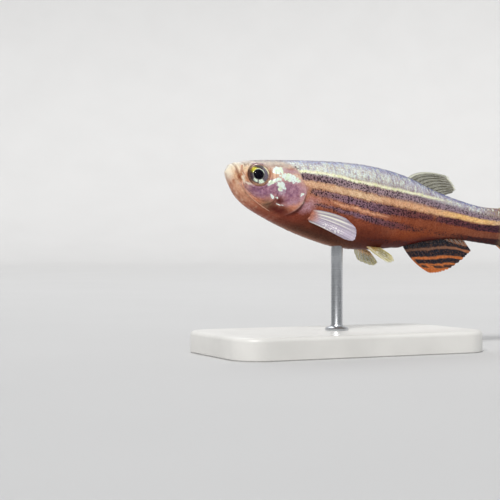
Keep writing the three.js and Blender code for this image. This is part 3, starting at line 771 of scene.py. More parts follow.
FINS = {
    "dorsal_fin": {
        "rays": 9, "steps": 46, "swell": 0.14,
        "root": [on_outline(back_at, 0.622, -ROOT_SINK), on_outline(back_at, 0.76, -ROOT_SINK)],
        "edge": [(26, 0, 4.35), (26.5, 0, 3.85), (27.05, 0, 3.2), (26.65, 0, 2.65)],
        "bow": [(-1.65, 0, 1.15), (0, 0, 0.15)],
    },
    "anal_fin": {
        "rays": 15, "steps": 44, "swell": 0.14, "dip": 0.015,
        "root": [on_outline(belly_at, 0.628, ROOT_SINK), on_outline(belly_at, 0.853, ROOT_SINK)],
        "edge": [
            (24.6, 0, -6.35), (25.75, 0, -6.1), (27.2, 0, -5.4), (28.85, 0, -4), (29.6, 0, -3.15),
        ],
        "bow": [(-0.45, 0, -0.75), (0, 0, -0.1)],
    },
    "caudal_fin": {
        "rays": 19, "steps": 70, "swell": 0.16, "dip": 0.009,
        "root": [(32.6, 0, 1.95), (32.6, 0, -1.95)],
        "edge": [
            (40.3, 0, 4.5), (41.5, 0, 3.9), (41, 0, 2.6), (39.2, 0, 1.1), (38.3, 0, -0.1),
            (39.2, 0, -1.3), (41, 0, -2.8), (41.6, 0, -4.1), (40.4, 0, -4.7),
        ],
        "bow": [(-0.3, 0, 0.55), (-0.3, 0, -0.55)],
    },
    "pectoral_fin": {
        "rays": 12, "steps": 44, "swell": 0.24, "fleshy": 0.5, "dip": 0.003,
        "right_turn": (0, -16), "sink": (-0.6, 0.35, 0.08),
        "root": [(8.2, -1.5, -2.65), (8.6, -1.35, -3.3)],
        "edge": [
            (12.1, -3.4, -3.05), (13, -3.7, -3.8), (13.15, -3.8, -4.45), (12.9, -3.8, -5.15),
            (12.1, -3.4, -5.1), (10.7, -2.9, -4.45),
        ],
        "bow": [(0.1, -0.5, 0.55), (0, -0.3, -0.1)],
    },
    "pelvic_fin": {
        "rays": 8, "steps": 36, "swell": 0.1, "right_turn": (35, 15), "sink": (-0.1, 0.2, 0.2),
        "root": [(15.95, -0.85, -4.8), (17.6, -0.65, -4.75)],
        "edge": [
            (17.85, -1.75, -6.2), (18.6, -1.7, -6.3), (19.15, -1.55, -6), (19.1, -1.3, -5.6),
            (18.75, -1.1, -5.3),
        ],
        "bow": [(-0.15, -0.15, -0.2), (0.1, 0, 0)],
        "right": {
            "root": [(15.75, -0.85, -4.8), (17.7, -0.65, -4.75)],
            "edge": [
                (17.15, -1.75, -5.85), (17.9, -1.7, -6.2), (18.9, -1.5, -6.1), (19.6, -1.25, -5.7),
                (19.5, -1.05, -5.3),
            ],
        },
    },
}


def fan_out(ends, share):
    """Points from the first end to the second one, a row for each share."""
    first, second = np.array(ends, float)
    return (first + (second - first) * share[:, None])[:, None]


def ray_heights(offset, sector, width, along):
    """How much each point lies on a ray, from 0 to 1, and the radius of the rays there."""
    radius = RAY_RADIUS[0] + (RAY_RADIUS[1] - RAY_RADIUS[0]) * along**0.8
    first, second = (spread * smooth(start, 1, along) ** 0.7 for start, spread in BRANCHING)
    tracks = [sector[:, None] * width / 1.3]
    for sign in (-1, 1):
        for twig in (-1, 1):
            tracks.append((offset[:, None] - sign * first - twig * second) * width)
    nearest = np.abs(tracks).min(0)
    return np.sqrt(np.clip(1 - (nearest / radius) ** 2, 0, 1)), radius


def fin_leaf(form):
    """Middle points, the direction across, the rays' mask and radius, and the shares across and along."""
    share = np.linspace(0, 1, form["rays"] * COLUMNS_PER_RAY + 1)
    sector = share * form["rays"]
    offset = sector - np.clip(np.floor(sector), 0, form["rays"] - 1) - 0.5
    along = np.linspace(0, 1, form["steps"] + 1)[None, :] ** 0.9
    dip = form.get("dip", EDGE_DIP) * (1 - np.cos(2 * math.pi * offset[:, None]))
    reach = along * (1 - dip * smooth(0.6, 1, along))
    start = fan_out(form["root"] + np.array(form.get("sink", (0.0, 0.0, 0.0))), share)
    end = spline(form["edge"], share)[:, None]
    control = (start + end) / 2 + fan_out(form["bow"], share)
    t = reach[..., None]
    middle = start * (1 - t) ** 2 + 2 * control * t * (1 - t) + end * t**2
    normal = unit(np.cross(np.gradient(middle, axis=0), np.gradient(middle, axis=1)))
    normal = normal * np.sign(-(normal[..., 1].sum()))
    width = np.linalg.norm(np.gradient(middle, axis=0), axis=-1) * COLUMNS_PER_RAY
    ray, radius = ray_heights(offset, sector, width, along)
    return middle, normal, ray, radius, share[:, None] + 0 * along, reach


def right_fin(points, form):
    about_x, about_y = form["right_turn"]
    turn = turn_about("X", about_x) @ turn_about("Y", about_y)
    root = np.array(form["root"][0]) * MIRROR
    return (points * MIRROR - root) @ turn.T + root


def fin_piece(name, form, side, masks):
    """A leaf with raised rays, fleshy at its root and lightly rippled towards its edge."""
    if side > 0:
        form = {**form, **form.get("right", {})}
    middle, normal, ray, radius, share, reach = fin_leaf(form)
    ripple = 0.05 * np.sin(share * form["rays"] * 1.7 + 2.5 * reach) * reach**2
    middle = middle + normal * ripple[..., None]
    fleshy = 1 - smooth(0.0, form.get("fleshy", FLESHY_REACH), reach)
    swell = form["swell"] * fleshy * (1 - (2 * share - 1) ** 4)
    half = (MEMBRANE_HALF + ray * radius + swell)[..., None]
    top, bottom = middle + normal * half, middle - normal * half
    fields = {"melanin": 0, "orange": 0, "cream": 0, "sparkle": 0, **masks(middle, share, reach)}
    fields = {"ray": ray, "reach": reach, "share": share, **fields}
    if side > 0:
        top, bottom = right_fin(top, form), right_fin(bottom, form)
    v = MARGIN + (1 - 2 * MARGIN) * reach
    upper, under = (
        np.stack([start + MARGIN + (0.5 - 2 * MARGIN) * share, v], -1) for start in (0, 0.5)
    )
    return leaf_piece(name, top[None], bottom[None], upper, under, fields, sharp=55)


def dorsal_masks(middle, share, reach):
    rough = 0.75 + 0.2 * noise(share * 30, reach * 14, 11)
    edge = smooth(0.92, 0.96, reach) * smooth(1, 0.6, share)
    return {
        "melanin": 0.5 * rough * band(share, 0.06, 0.97, 0.04) * (1 - smooth(0.7, 0.95, reach)),
        "cream": np.maximum(smooth(0.1, 0.05, share), edge),
    }


def anal_masks(middle, share, reach):
    """Dark and orange bands side by side along the belly, by their distance from its outline."""
    x, z = middle[..., 0], middle[..., 2]
    sag = 0.3 * smooth(0.02, 0.4, share) + 0.34 * smooth(0.6, 1.0, share)
    outside = belly_at(x / BODY_LENGTH) * BODY_LENGTH - z - sag
    outside = outside + 0.06 * noise(share * 26, outside * 3, 12)
    rear = smooth(0.5, 0.8, share)
    dark = (
        band(outside, -1 + 0.97 * rear, 0.43, 0.07) + band(outside, 0.72, 1.46, 0.07)
        + band(outside, 1.76, 2.28, 0.06) * smooth(0.0, 0.05, share)
    )
    clear = rear * smooth(0.1, -0.15, outside) * (1 - dark)
    flecks = smooth(-0.45, -0.05, noise(share * 17, outside * 3, 15)) * band(outside, 2.48, 2.82, 0.09)
    dark = dark + 0.9 * flecks * smooth(0.01, 0.06, share)
    olive = band(outside, 0.43, 0.72, 0.07) * (1 - 0.7 * smooth(0.6, 1.0, share))
    return {
        "melanin": np.clip(dark + 0.6 * olive + 0.42 * clear, 0, 1),
        "orange": np.clip(1 - dark - 0.5 * olive - clear, 0, 1), "cream": 0.15 * olive,
    }


# Stripes of the tail fin: share across it and half width at the root, then at the edge
CAUDAL_STRIPES = [
    (0.12, 0.03, 0.1, 0.025), (0.36, 0.06, 0.27, 0.045), (0.605, 0.1, 0.66, 0.05),
    (0.9, 0.075, 0.88, 0.035),
]


def caudal_masks(middle, share, reach):
    """Dark stripes that carry those of the body on and spread with the rays."""
    wave = share + 0.012 * noise(share * 40, reach * 9, 13)
    dark = 0 * share
    for root, root_half, end, end_half in CAUDAL_STRIPES:
        centre = root + (end - root) * smooth(0.0, 1.0, reach)
        width = root_half + (end_half - root_half) * smooth(0.15, 0.8, reach)
        dark = np.maximum(dark, 1 - smooth(width * 0.65, width * 1.3, np.abs(wave - centre)))
    broken = 0.35 * noise(share * 22, reach * 16, 14) - 0.2
    dark = dark * (1 + broken * smooth(0.2, 0.45, reach)) * (1 - 0.55 * smooth(0.75, 1, reach))
    dark = dark * smooth(0.0, 0.5, reach + smooth(0.2, 0.3, share))
    cream = (1 - dark) * (1 - smooth(0.15, 0.75, reach)) * band(share, 0.06, 0.94, 0.05)
    fleshy = (1 - dark) * smooth(0.55, 0.2, reach + 0.07 * noise(share * 60, reach * 9, 17))
    warm = fleshy * (0.55 + 0.45 * smooth(0.56, 0.66, share))
    return {
        "melanin": np.clip(dark, 0, 1), "orange": np.clip(warm * smooth(0.38, 0.46, share), 0, 1),
        "cream": np.clip(cream * (1 - 0.8 * warm), 0, 1),
    }


def pectoral_masks(middle, share, reach):
    """Bright streaks along the upper rays, and a field of glints where the fin turns to the light."""
    wave = share + 0.008 * noise(reach * 6, share * 9, 16)
    cream = (
        0.9 * band(wave, 0.03, 0.1, 0.025) + band(wave, 0.17, 0.25, 0.03)
        + 0.7 * band(wave, 0.33, 0.38, 0.02)
    )
    cream = cream * smooth(1.02, 0.7, reach) * smooth(0.28, 0.42, reach)
    dark = (
        0.3 * band(wave, 0.1, 0.16, 0.02) + 0.26 * band(wave, 0.26, 0.32, 0.02)
        + 0.16 * band(wave, 0.4, 0.47, 0.03)
    )
    return {
        "melanin": dark * smooth(0.3, 0.5, reach), "orange": smooth(0.46, 0.26, reach + 0.1 * share),
        "cream": np.maximum(cream, 0.5 * smooth(0.9, 0.98, share) * smooth(0.2, 0.4, reach)),
        "sparkle": band(wave, 0.5, 0.84, 0.08) * band(reach, 0.45, 0.76, 0.07),
    }


def pelvic_masks(middle, share, reach):
    return {
        "melanin": 0.35 * band(share, 0.35, 0.8, 0.12) * band(reach, 0.3, 0.75, 0.1),
        "orange": 0.5 * smooth(0.5, 0.1, reach),
        "cream": 0.5 * band(share, 0.02, 0.2, 0.06) + 0.5 * smooth(0.82, 0.97, reach),
        "sparkle": 0.6 * band(share, 0.2, 0.7, 0.1) * band(reach, 0.35, 0.85, 0.1),
    }


# Eyes, as radius and height of their outlines about the eye's own axis
PUPIL_FORWARD = 0.07
EYE_PROFILE = [
    (0.0, 0.49), (0.2, 0.47), (0.38, 0.42), (0.48, 0.36), (0.53, 0.31), (0.57, 0.3), (0.72, 0.275),
    (0.9, 0.235), (1.06, 0.175), (1.15, 0.1), (1.19, -0.05), (1.1, -0.32), (0.7, -0.52), (0.0, -0.6),
]
CORNEA_PROFILE = [
    (0.0, 0.6), (0.3, 0.57), (0.6, 0.48), (0.85, 0.36), (1.02, 0.25), (1.13, 0.14), (1.18, 0.03),
]
# Rings and sides of the turned forms
EYE_GRID = (90, 144)
CORNEA_GRID = (40, 96)


def turned_piece(name, side, knots, grid, masks=None):
    """A round form about the eye's own axis, from its middle outwards."""
    centre, tailward, up, out = eye_frame(side)
    rings, sides = grid
    closed = knots[-1][0] == 0
    line = spline(knots, np.linspace(0, 1, rings))[1:rings - closed]
    radius, depth = np.maximum(line[:, :1], 0), line[:, 1:]
    angle = turns(sides)[None, :]
    right = radius * np.cos(angle) - PUPIL_FORWARD * smooth(1.1, 0.4, radius)
    points = (
        centre + right[..., None] * tailward + (radius * np.sin(angle))[..., None] * up
        + depth[..., None] * out
    )
    poles = [centre + knots[0][1] * out - PUPIL_FORWARD * tailward, centre + knots[-1][1] * out]
    count = 1 + closed
    fields = masks(radius + 0 * angle, angle + 0 * radius) if masks else {}
    fields = {field: with_ends(values, count) for field, values in fields.items()}
    ends = ("fan", "fan" if closed else "open")
    faces = tube_faces(len(radius), sides, ends, flipped=side < 0)
    points = np.concatenate([points.reshape(-1, 3), poles[:count]])
    return make_piece(name, to_row(points), faces, fields)


def sector(angle, middle, half, soft):
    """1 where the angle, in degrees from the tail over the top, is within a sector."""
    away = np.abs((np.degrees(angle) - middle + 180) % 360 - 180)
    return 1 - smooth(half - soft, half + soft, away)


def iris_masks(radius, angle):
    """Gold and silver of the iris, as seen from the side with the tail at angle 0."""
    gold = (
        sector(angle, 140, 28, 10) * band(radius, 0.55, 0.96, 0.05),
        sector(angle, 108, 22, 14) * band(radius, 0.55, 0.66, 0.04),
    )
    silver = (
        sector(angle, 72, 52, 16) * band(radius, 0.535, 0.605, 0.02),
        0.35 * band(radius, 0.52, 0.56, 0.02),
        # Two silver spots below the pupil: the iris's silver with painted highlights in it.
        sector(angle, -115, 19, 7) * band(radius, 0.57, 0.82, 0.05),
        sector(angle, -67, 19, 7) * band(radius, 0.57, 0.94, 0.05),
    )
    dusk = (
        sector(angle, 192, 42, 18) * smooth(0.6, 0.75, radius),
        sector(angle, 92, 34, 12) * band(radius, 0.74, 1.0, 0.05),
    )
    slate = (
        sector(angle, 8, 50, 20) * band(radius, 0.6, 0.93, 0.05),
        0.6 * sector(angle, -150, 40, 20) * band(radius, 0.6, 0.95, 0.06),
    )
    groups = {"gold": gold, "silver": silver, "dusk": dusk, "slate": slate}
    return {
        **{field: np.maximum.reduce(parts) for field, parts in groups.items()},
        "radius": radius, "turn": angle,
        "pupil": smooth(0.54, 0.505, radius), "rind": smooth(0.87, 0.99, radius),
        "arc": sector(angle, 38, 26, 8) * band(radius, 0.92, 1.05, 0.03),
    }


# Barbels, as x and z of the side view and how far their middle lies off the skin
BARBELS = {
    "rostral_barbel": [(1.3, 0.72, 0.0), (1.2, 0.4, 0.12), (1.45, -0.1, 0.12), (1.85, -0.6, 0.1)],
    "maxillary_barbel": [
        (1.45, -0.85, -0.1), (1.5, -1.3, 0.12), (1.95, -1.85, 0.12), (2.8, -2.45, 0.1),
        (3.8, -2.95, 0.09), (4.7, -3.3, 0.08),
    ],
}
BARBEL_RADIUS = (0.09, 0.03)
BARBEL_STEPS = 60
BARBEL_SIDES = 14


def barbel_piece(name, route, side):
    """A soft feeler, thick at its root, with faint rings and a round tip."""
    share = np.linspace(0, 1, BARBEL_STEPS)
    x, z, off = spline(route, share).T
    middle = np.stack([x, -flank_at(x, z) - off, z], -1)
    radius = BARBEL_RADIUS[0] + (BARBEL_RADIUS[1] - BARBEL_RADIUS[0]) * share**0.7
    radius = radius * (1 + 0.05 * np.sin(share * 120)) * np.sqrt(1 - share**12 * 0.98)
    forward = unit(np.gradient(middle, axis=0))
    across = unit(np.cross(forward, [0.0, 1.0, 0.2]))
    over = np.cross(forward, across)
    angle = turns(BARBEL_SIDES)[None, :, None]
    ring = across[:, None] * np.cos(angle) + over[:, None] * np.sin(angle)
    points = with_ends(middle[:, None] + ring * radius[:, None, None])
    if side > 0:
        points = points * MIRROR
    fields = {"reach": with_ends(np.repeat(share[:, None], BARBEL_SIDES, 1))}
    faces = tube_faces(BARBEL_STEPS, BARBEL_SIDES, ("fan", "fan"), flipped=side > 0)
    return make_piece(name, to_row(points), faces, fields)


# Materials
def srgb(red, green, blue):
    """A colour as the eye names it, turned into the light values that the shaders use."""
    seen = np.array([red, green, blue], float)
    light = np.where(seen <= 0.04045, seen / 12.92, ((seen + 0.055) / 1.055) ** 2.4)
    return (*light, 1.0)


class Wire:
    """A value on its way from one node to the next, for plain arithmetic."""

    def __init__(self, shader, socket):
        self.shader = shader
        self.socket = socket

    def __add__(self, other):
        return self.shader.math("ADD", self, other)

    def __sub__(self, other):
        return self.shader.math("SUBTRACT", self, other)

    def __rsub__(self, other):
        return self.shader.math("SUBTRACT", other, self)

    def __mul__(self, other):
        return self.shader.math("MULTIPLY", self, other)

    def clamp(self):
        return self.shader.math("ADD", self, 0.0, clamp=True)

    def rise(self, low, high):
        """0 below low and 1 above high, or the other way round where low is the higher one."""
        ends = {"Value": self, "From Min": low, "From Max": high}
        return self.shader.node("ShaderNodeMapRange", "Result", ends, interpolation_type="SMOOTHSTEP")


class Shader:
    """One node material with a principled shader, and short calls for the nodes it uses."""

    def __init__(self, name, **constants):
        self.material = bpy.data.materials.new(name)
        self.material.use_nodes = True
        self.tree = self.material.node_tree
        self.surface = self.tree.nodes["Principled BSDF"]
        self.tones = None
        for socket, value in constants.items():
            self.surface.inputs[socket.replace("_", " ")].default_value = value

    def feed(self, socket, value):
        """Links a wire to the socket, or sets a colour or a number on it."""
        if isinstance(value, Wire):
            self.tree.links.new(value.socket, socket)
        elif isinstance(value, tuple):
            socket.default_value = srgb(*value)
        else:
            socket.default_value = value

    def node(self, kind, output, inputs, **settings):
        node = self.tree.nodes.new(kind)
        for setting, value in settings.items():
            setattr(node, setting, value)
        for key, value in inputs.items():
            self.feed(node.inputs[key], value)
        return Wire(self, node.outputs[output])

    def set(self, socket, value):
        self.feed(self.surface.inputs[socket], value)

    def field(self, name):
        return self.node("ShaderNodeAttribute", "Fac", {}, attribute_name=name)

    def math(self, operation, a, b, clamp=False):
        return self.node("ShaderNodeMath", 0, {0: a, 1: b}, operation=operation, use_clamp=clamp)

    def mix(self, share, first, second, blend="MIX"):
        inputs = {0: share, 6: first, 7: second}
        return self.node("ShaderNodeMix", 2, inputs, data_type="RGBA", blend_type=blend)

    def paint(self, share, colour, blend="MIX"):
        """Lays a colour over the tones so far. MULTIPLY darkens them by it."""
        self.tones = self.mix(share, self.tones, colour, blend)

    def paint_fields(self, *layers):
        """Lays colours over the tones where the masks are, each as a mask, the most of it, and colour."""
        for name, most, colour in layers:
            self.paint(self.field(name) * most, colour)

    def ramp(self, value, stops):
        colour = self.node("ShaderNodeValToRGB", "Color", {"Fac": value})
        elements = colour.socket.node.color_ramp.elements
        for position, _ in stops[2:]:
            elements.new(position)
        for element, (position, tone) in zip(elements, stops):
            element.position = position
            element.color = srgb(*tone)
        return colour

    def place(self):
        return self.node("ShaderNodeTexCoord", "Object", {})

    def lumps(self, scale, detail=2.0, vector=None):
        """Soft noise over the object, or over a vector of its own."""
        inputs = {"Scale": scale, "Detail": detail, "Vector": vector or self.place()}
        return self.node("ShaderNodeTexNoise", "Fac", inputs)

    def streaks(self, u, v, detail):
        """Noise over two wires, whose factors stretch it."""
        pair = self.node("ShaderNodeCombineXYZ", "Vector", {"X": u, "Y": v})
        return self.lumps(1.0, detail, pair)

    def cells(self, scale):
        return self.node("ShaderNodeTexVoronoi", "Distance", {"Scale": scale, "Vector": self.place()})

    def finished(self, height, depth, strength):
        """The material, with its tones and the fine relief of its surface."""
        inputs = {"Height": height, "Distance": depth, "Strength": strength}
        self.set("Normal", self.node("ShaderNodeBump", "Normal", inputs))
        self.set("Base Color", self.tones)
        return self.material


# Tones of the skin by level, for the front and the rear of the trunk, and for the head. The trunk's tones
# hold painted light: painted shade darkens the lower flank towards the belly, and near level 0.86 there is
# a painted bluish rim light.
FRONT_TONES = [
    (0.0, (0.57, 0.34, 0.2)), (0.06, (0.42, 0.25, 0.16)), (0.12, (0.35, 0.19, 0.12)),
    (0.25, (0.45, 0.21, 0.13)), (0.34, (0.58, 0.3, 0.2)), (0.42, (0.68, 0.42, 0.32)),
    (0.5, (0.7, 0.5, 0.41)), (0.57, (0.8, 0.64, 0.52)), (0.63, (0.64, 0.55, 0.55)),
    (0.7, (0.87, 0.92, 0.9)), (0.77, (0.88, 0.92, 0.91)), (0.86, (0.7, 0.75, 0.88)),
    (0.93, (0.48, 0.49, 0.6)), (1.0, (0.34, 0.35, 0.5)),
]
REAR_TONES = [
    (0.0, (0.33, 0.12, 0.06)), (0.05, (0.24, 0.06, 0.02)), (0.13, (0.37, 0.08, 0.015)),
    (0.2, (0.42, 0.13, 0.04)), (0.27, (0.5, 0.22, 0.11)), (0.34, (0.57, 0.29, 0.18)),
    (0.42, (0.52, 0.28, 0.21)), (0.5, (0.82, 0.62, 0.47)), (0.6, (0.54, 0.46, 0.52)),
    (0.7, (0.77, 0.78, 0.8)), (0.77, (0.74, 0.76, 0.83)), (0.86, (0.42, 0.47, 0.68)),
    (0.93, (0.28, 0.29, 0.44)), (1.0, (0.2, 0.21, 0.38)),
]
SNOUT_TONES = [
    (0.0, (0.84, 0.6, 0.49)), (0.2, (0.87, 0.67, 0.55)), (0.34, (0.9, 0.74, 0.61)),
    (0.5, (0.9, 0.74, 0.58)), (0.66, (0.9, 0.8, 0.65)), (0.8, (0.83, 0.81, 0.77)),
    (1.0, (0.77, 0.76, 0.77)),
]
HEAD_TONES = [
    (0.0, (0.7, 0.38, 0.29)), (0.2, (0.76, 0.46, 0.35)), (0.34, (0.82, 0.57, 0.46)),
    (0.48, (0.88, 0.68, 0.55)), (0.62, (0.88, 0.73, 0.62)), (0.74, (0.78, 0.71, 0.66)),
    (0.86, (0.69, 0.67, 0.66)), (0.93, (0.54, 0.52, 0.54)), (1.0, (0.4, 0.39, 0.46)),
]
# Tones by place: the orange and golden bands, and the ground between the dots of the dark stripes
ORANGE_TONES = [
    (0.24, (0.78, 0.56, 0.5)), (0.34, (0.76, 0.5, 0.38)), (0.45, (0.8, 0.56, 0.45)),
    (0.51, (0.74, 0.48, 0.37)), (0.59, (0.61, 0.32, 0.19)), (0.8, (0.6, 0.34, 0.22)),
    (0.92, (0.56, 0.35, 0.26)), (1.0, (0.46, 0.3, 0.24)),
]
GOLD_TONES = [
    (0.2, (0.9, 0.74, 0.62)), (0.32, (0.92, 0.76, 0.6)), (0.44, (0.97, 0.85, 0.69)),
    (0.54, (0.93, 0.74, 0.58)), (0.72, (0.94, 0.75, 0.57)), (0.82, (1.0, 0.84, 0.56)),
    (0.93, (1.0, 0.84, 0.57)), (1.0, (0.88, 0.76, 0.63)),
]
DUSK_TONES = [
    (0.25, (0.57, 0.42, 0.42)), (0.4, (0.57, 0.46, 0.55)), (0.52, (0.49, 0.35, 0.41)),
    (0.62, (0.5, 0.29, 0.29)), (0.8, (0.44, 0.25, 0.28)), (1.0, (0.28, 0.16, 0.24)),
]
MIST_TONES = [(0.26, (0.54, 0.43, 0.46)), (0.36, (0.65, 0.56, 0.6)), (1.0, (0.64, 0.56, 0.62))]


def paint_ground(s, place, level, head):
    """Tones by level: the trunk's, with painted shade low down and painted rim light high up, browner at
    the tail fin, and the head's, mottled and lined.
    """
    trunk = s.mix(place.rise(0.4, 0.64), s.ramp(level, FRONT_TONES), s.ramp(level, REAR_TONES))
    stem = place.rise(0.88, 0.98) * level.rise(0.45, 0.75)
    trunk = s.mix(stem * 0.85, trunk, (0.58, 0.47, 0.36))
    face = s.mix(place.rise(0.03, 0.12), s.ramp(level, SNOUT_TONES), s.ramp(level, HEAD_TONES))
    s.tones = s.mix(head, trunk, face)
    mottle = s.lumps(2600, 5.0)
    lines = s.streaks(place * 34.0, level * 48.0, 2.0)
    s.paint(head * level.rise(0.5, 0.34) * lines.rise(0.5, 0.36) * 0.5, (0.72, 0.41, 0.29))
    s.paint(head * mottle.rise(0.52, 0.72) * 0.45, (0.95, 0.83, 0.72))
    s.paint(mottle.rise(0.5, 0.3) * 0.45, (0.72, 0.6, 0.58), "MULTIPLY")


def paint_back(s, place, level, head):
    """Upright painted glints on the back, highlights about one to a scale, between darker lavender streaks,
    paler where the flank turns up.
    """
    upright = s.streaks(place * 122.0, level * 9.0, 2.0)
    back = level.rise(0.63, 0.69) * level.rise(1.0, 0.82) * (1.0 - head)
    s.paint(back * upright.rise(0.48, 0.34) * 0.6, (0.6, 0.57, 0.69))
    glints = back * upright.rise(0.5, 0.66)
    # Painted highlight: mint-white glints laid into the colour.
    s.paint(glints * 0.75, (0.94, 1.0, 0.95))
    return glints


def paint_bands(s, place):
    """The bands and patches of colour, with a painted sheen line, painted crease shade and painted belly
    shade among them, in the order in which they cover each other.
    """
    cloud = s.lumps(3300, 3.0).rise(0.3, 0.66)
    veil = s.mix(cloud, (0.69, 0.53, 0.63), (0.48, 0.31, 0.47))
    dashes = s.streaks(place * 70.0, 0.0, 1.0).rise(0.3, 0.6)
    lemon = s.mix(dashes, (0.94, 0.97, 0.75), (1.0, 1.0, 0.88))
    s.paint_fields(
        ("orange", 0.9, s.ramp(place, ORANGE_TONES)), ("throat", 1.0, (0.52, 0.25, 0.18)),
        ("olive", 0.85, (0.47, 0.37, 0.29)), ("violet", 0.85, veil), ("mauve", 0.8, (0.74, 0.6, 0.66)),
        ("blood_and_belly_shade", 0.92, (0.33, 0.07, 0.05)), ("rust_and_crease_shade", 0.8, (0.63, 0.31, 0.15)),
        ("gold", 0.95, s.ramp(place, GOLD_TONES)), ("sheen_line", 0.9, (1.0, 0.8, 0.63)),
        ("lemon", 1.0, lemon),
    )


def paint_melanin(s, place, level):
    """Dark cells: a dusky ground with black dots in the stripes, and single dots elsewhere."""
    melanin = s.field("melanin")
    ground = s.mix(level.rise(0.5, 0.54), s.ramp(place, DUSK_TONES), s.ramp(place, MIST_TONES))
    # Towards the belly the dark stripes' ground turns redder and darker: partly its colour, partly painted
    # shade.
    ground = s.mix(level.rise(0.45, 0.16), ground, (0.8, 0.48, 0.36), "MULTIPLY")
    s.paint(melanin.rise(0.4, 0.95) * 0.9, ground)
    reach = melanin * 0.24 + s.lumps(1500, 3.0).rise(0.3, 0.7) * 0.07 + 0.2
    for scale, dark in ((5000, 0.92), (8200, 0.6)):
        dots = (s.cells(scale) - reach).rise(0.02, -0.08)
        s.paint(dots * melanin.rise(0.05, 0.35) * dark, (0.13, 0.08, 0.11))
    s.paint(s.cells(5000).rise(0.28, 0.14) * s.field("violet") * 0.6, (0.26, 0.14, 0.27))
    s.paint(s.cells(4300).rise(0.2, 0.1) * level.rise(0.12, 0.4) * 0.45, (0.27, 0.16, 0.2))


def paint_silver(s, place):
    """Silver patches of the head, partly its real silver and partly painted glints, torn at their edges,
    with a pale haze round them and dark specks.
    """
    cover = s.field("silver")
    s.paint(cover.rise(0.0, 0.6) * 0.35, (0.83, 0.79, 0.83))
    torn = s.lumps(4200, 4.0) * 2.6 - 1.3
    silver = (cover * 1.1 + torn).rise(0.38, 0.7) * cover.rise(0.02, 0.2)
    tint = s.lumps(1500, 2.0).rise(0.45, 0.62)
    s.paint(silver, s.mix(tint, (0.95, 1.0, 0.97), (0.93, 0.99, 0.88)))
    specks = silver * s.cells(6200).rise(0.24, 0.13) * place.rise(0.15, 0.17)
    s.paint(specks * 0.7, (0.36, 0.33, 0.4))
    return silver


def flesh_shader(name, scaled):
    """Wet skin: tones by level, then the bands, the dark cells, and the silver of the head."""
    s = Shader(
        name, Coat_Weight=0.14, Coat_Roughness=0.14, Coat_IOR=1.36, Specular_IOR_Level=0.12,
    )
    place, level, head = s.field("place"), s.field("level"), s.field("head")
    paint_ground(s, place, level, head)
    glints = paint_back(s, place, level, head)
    paint_bands(s, place)
    grain = s.cells(6600).rise(0.3, 0.75) * s.field("lemon").rise(1.6, 0.0) * head.rise(1.8, 0.0)
    s.paint(grain, (0.9, 0.83, 0.8), "MULTIPLY")
    paint_melanin(s, place, level)
    fin_root = (place + s.lumps(2400, 2.0) * 0.03).rise(0.995, 1.035)
    s.paint(fin_root * 0.55, (0.62, 0.5, 0.38))
    silver = paint_silver(s, place)
    # Pale skin, with painted highlights on the snout, the lips and the gill cover's edge.
    s.paint(s.field("pale"), (0.97, 0.94, 0.86))
    metal = silver * 0.25 + glints * 0.3 + (s.field("gold") + s.field("lemon")) * 0.1
    if scaled:
        glint = s.field("glint")
        # Painted highlight along the rear edge of the scales that glint most.
        shine = s.field("edge") * glint.rise(0.2, 0.9) * (1.0 - s.field("melanin")) * level.rise(0.3, 0.6)
        s.paint(shine * 0.14, (0.98, 0.93, 0.86))
        # Painted shade: scales with little glint are darkened, as ones that catch less light.
        s.paint(glint.rise(0.6, 0.0) * 0.3, (0.8, 0.76, 0.76), "MULTIPLY")
        metal = metal + shine * 0.2
    else:
        s.paint_fields(("rim", 0.3, (0.9, 0.72, 0.7)), ("slit", 0.75, (0.56, 0.31, 0.21)))
    s.set("Metallic", metal)
    s.set("Roughness", s.lumps(4200, 3.0).rise(0.3, 0.7) * 0.18 + 0.26)
    return s.finished(s.lumps(6500, 3.0), 2.5e-5, 0.6)


def warmer(colour):
    """The brighter of the two tones that an orange band is mottled with."""
    return tuple(min(1.0, 1.12 * part + 0.05) for part in colour)


def fin_shader(name, membrane, ray, clear, warm=(0.7, 0.37, 0.15)):
    """Thin skin on bony rays: clear between them, with the bands and stripes painted in."""
    s = Shader(name, Coat_Weight=0.2, Coat_Roughness=0.15, Specular_IOR_Level=0.2, Roughness=0.4)
    rays, melanin = s.field("ray"), s.field("melanin")
    orange, cream = s.field("orange"), s.field("cream")
    joints = s.streaks(s.field("reach") * 60.0, s.field("share"), 1.0)
    grain = s.lumps(5200, 3.0)
    glints = s.field("sparkle") * s.lumps(7500, 2.0).rise(0.5, 0.58)
    bone = s.mix(joints.rise(0.42, 0.58) * 0.2, ray, (0.97, 0.96, 0.9))
    s.tones = s.mix(rays.rise(0.1, 0.6), membrane, bone)
    s.paint(orange * 0.9, s.mix(grain.rise(0.4, 0.62), warm, warmer(warm)))
    s.paint(cream * 0.85, (0.95, 0.95, 0.88))
    # Painted glints: highlights laid into the colour where the sparkle mask is.
    s.paint(glints, (1.0, 1.0, 0.97))
    s.paint((grain.rise(0.36, 0.52) * 0.2 + 0.82).clamp() * melanin, (0.07, 0.06, 0.12))
    body = rays.rise(0.0, 0.5) * 0.75 + melanin * 0.8 + (orange + cream + glints).clamp() * 0.7
    s.set("Alpha", (body * (1 - clear) + clear).clamp())
    return s.finished(s.lumps(7000, 2.0), 1.5e-5, 0.5)


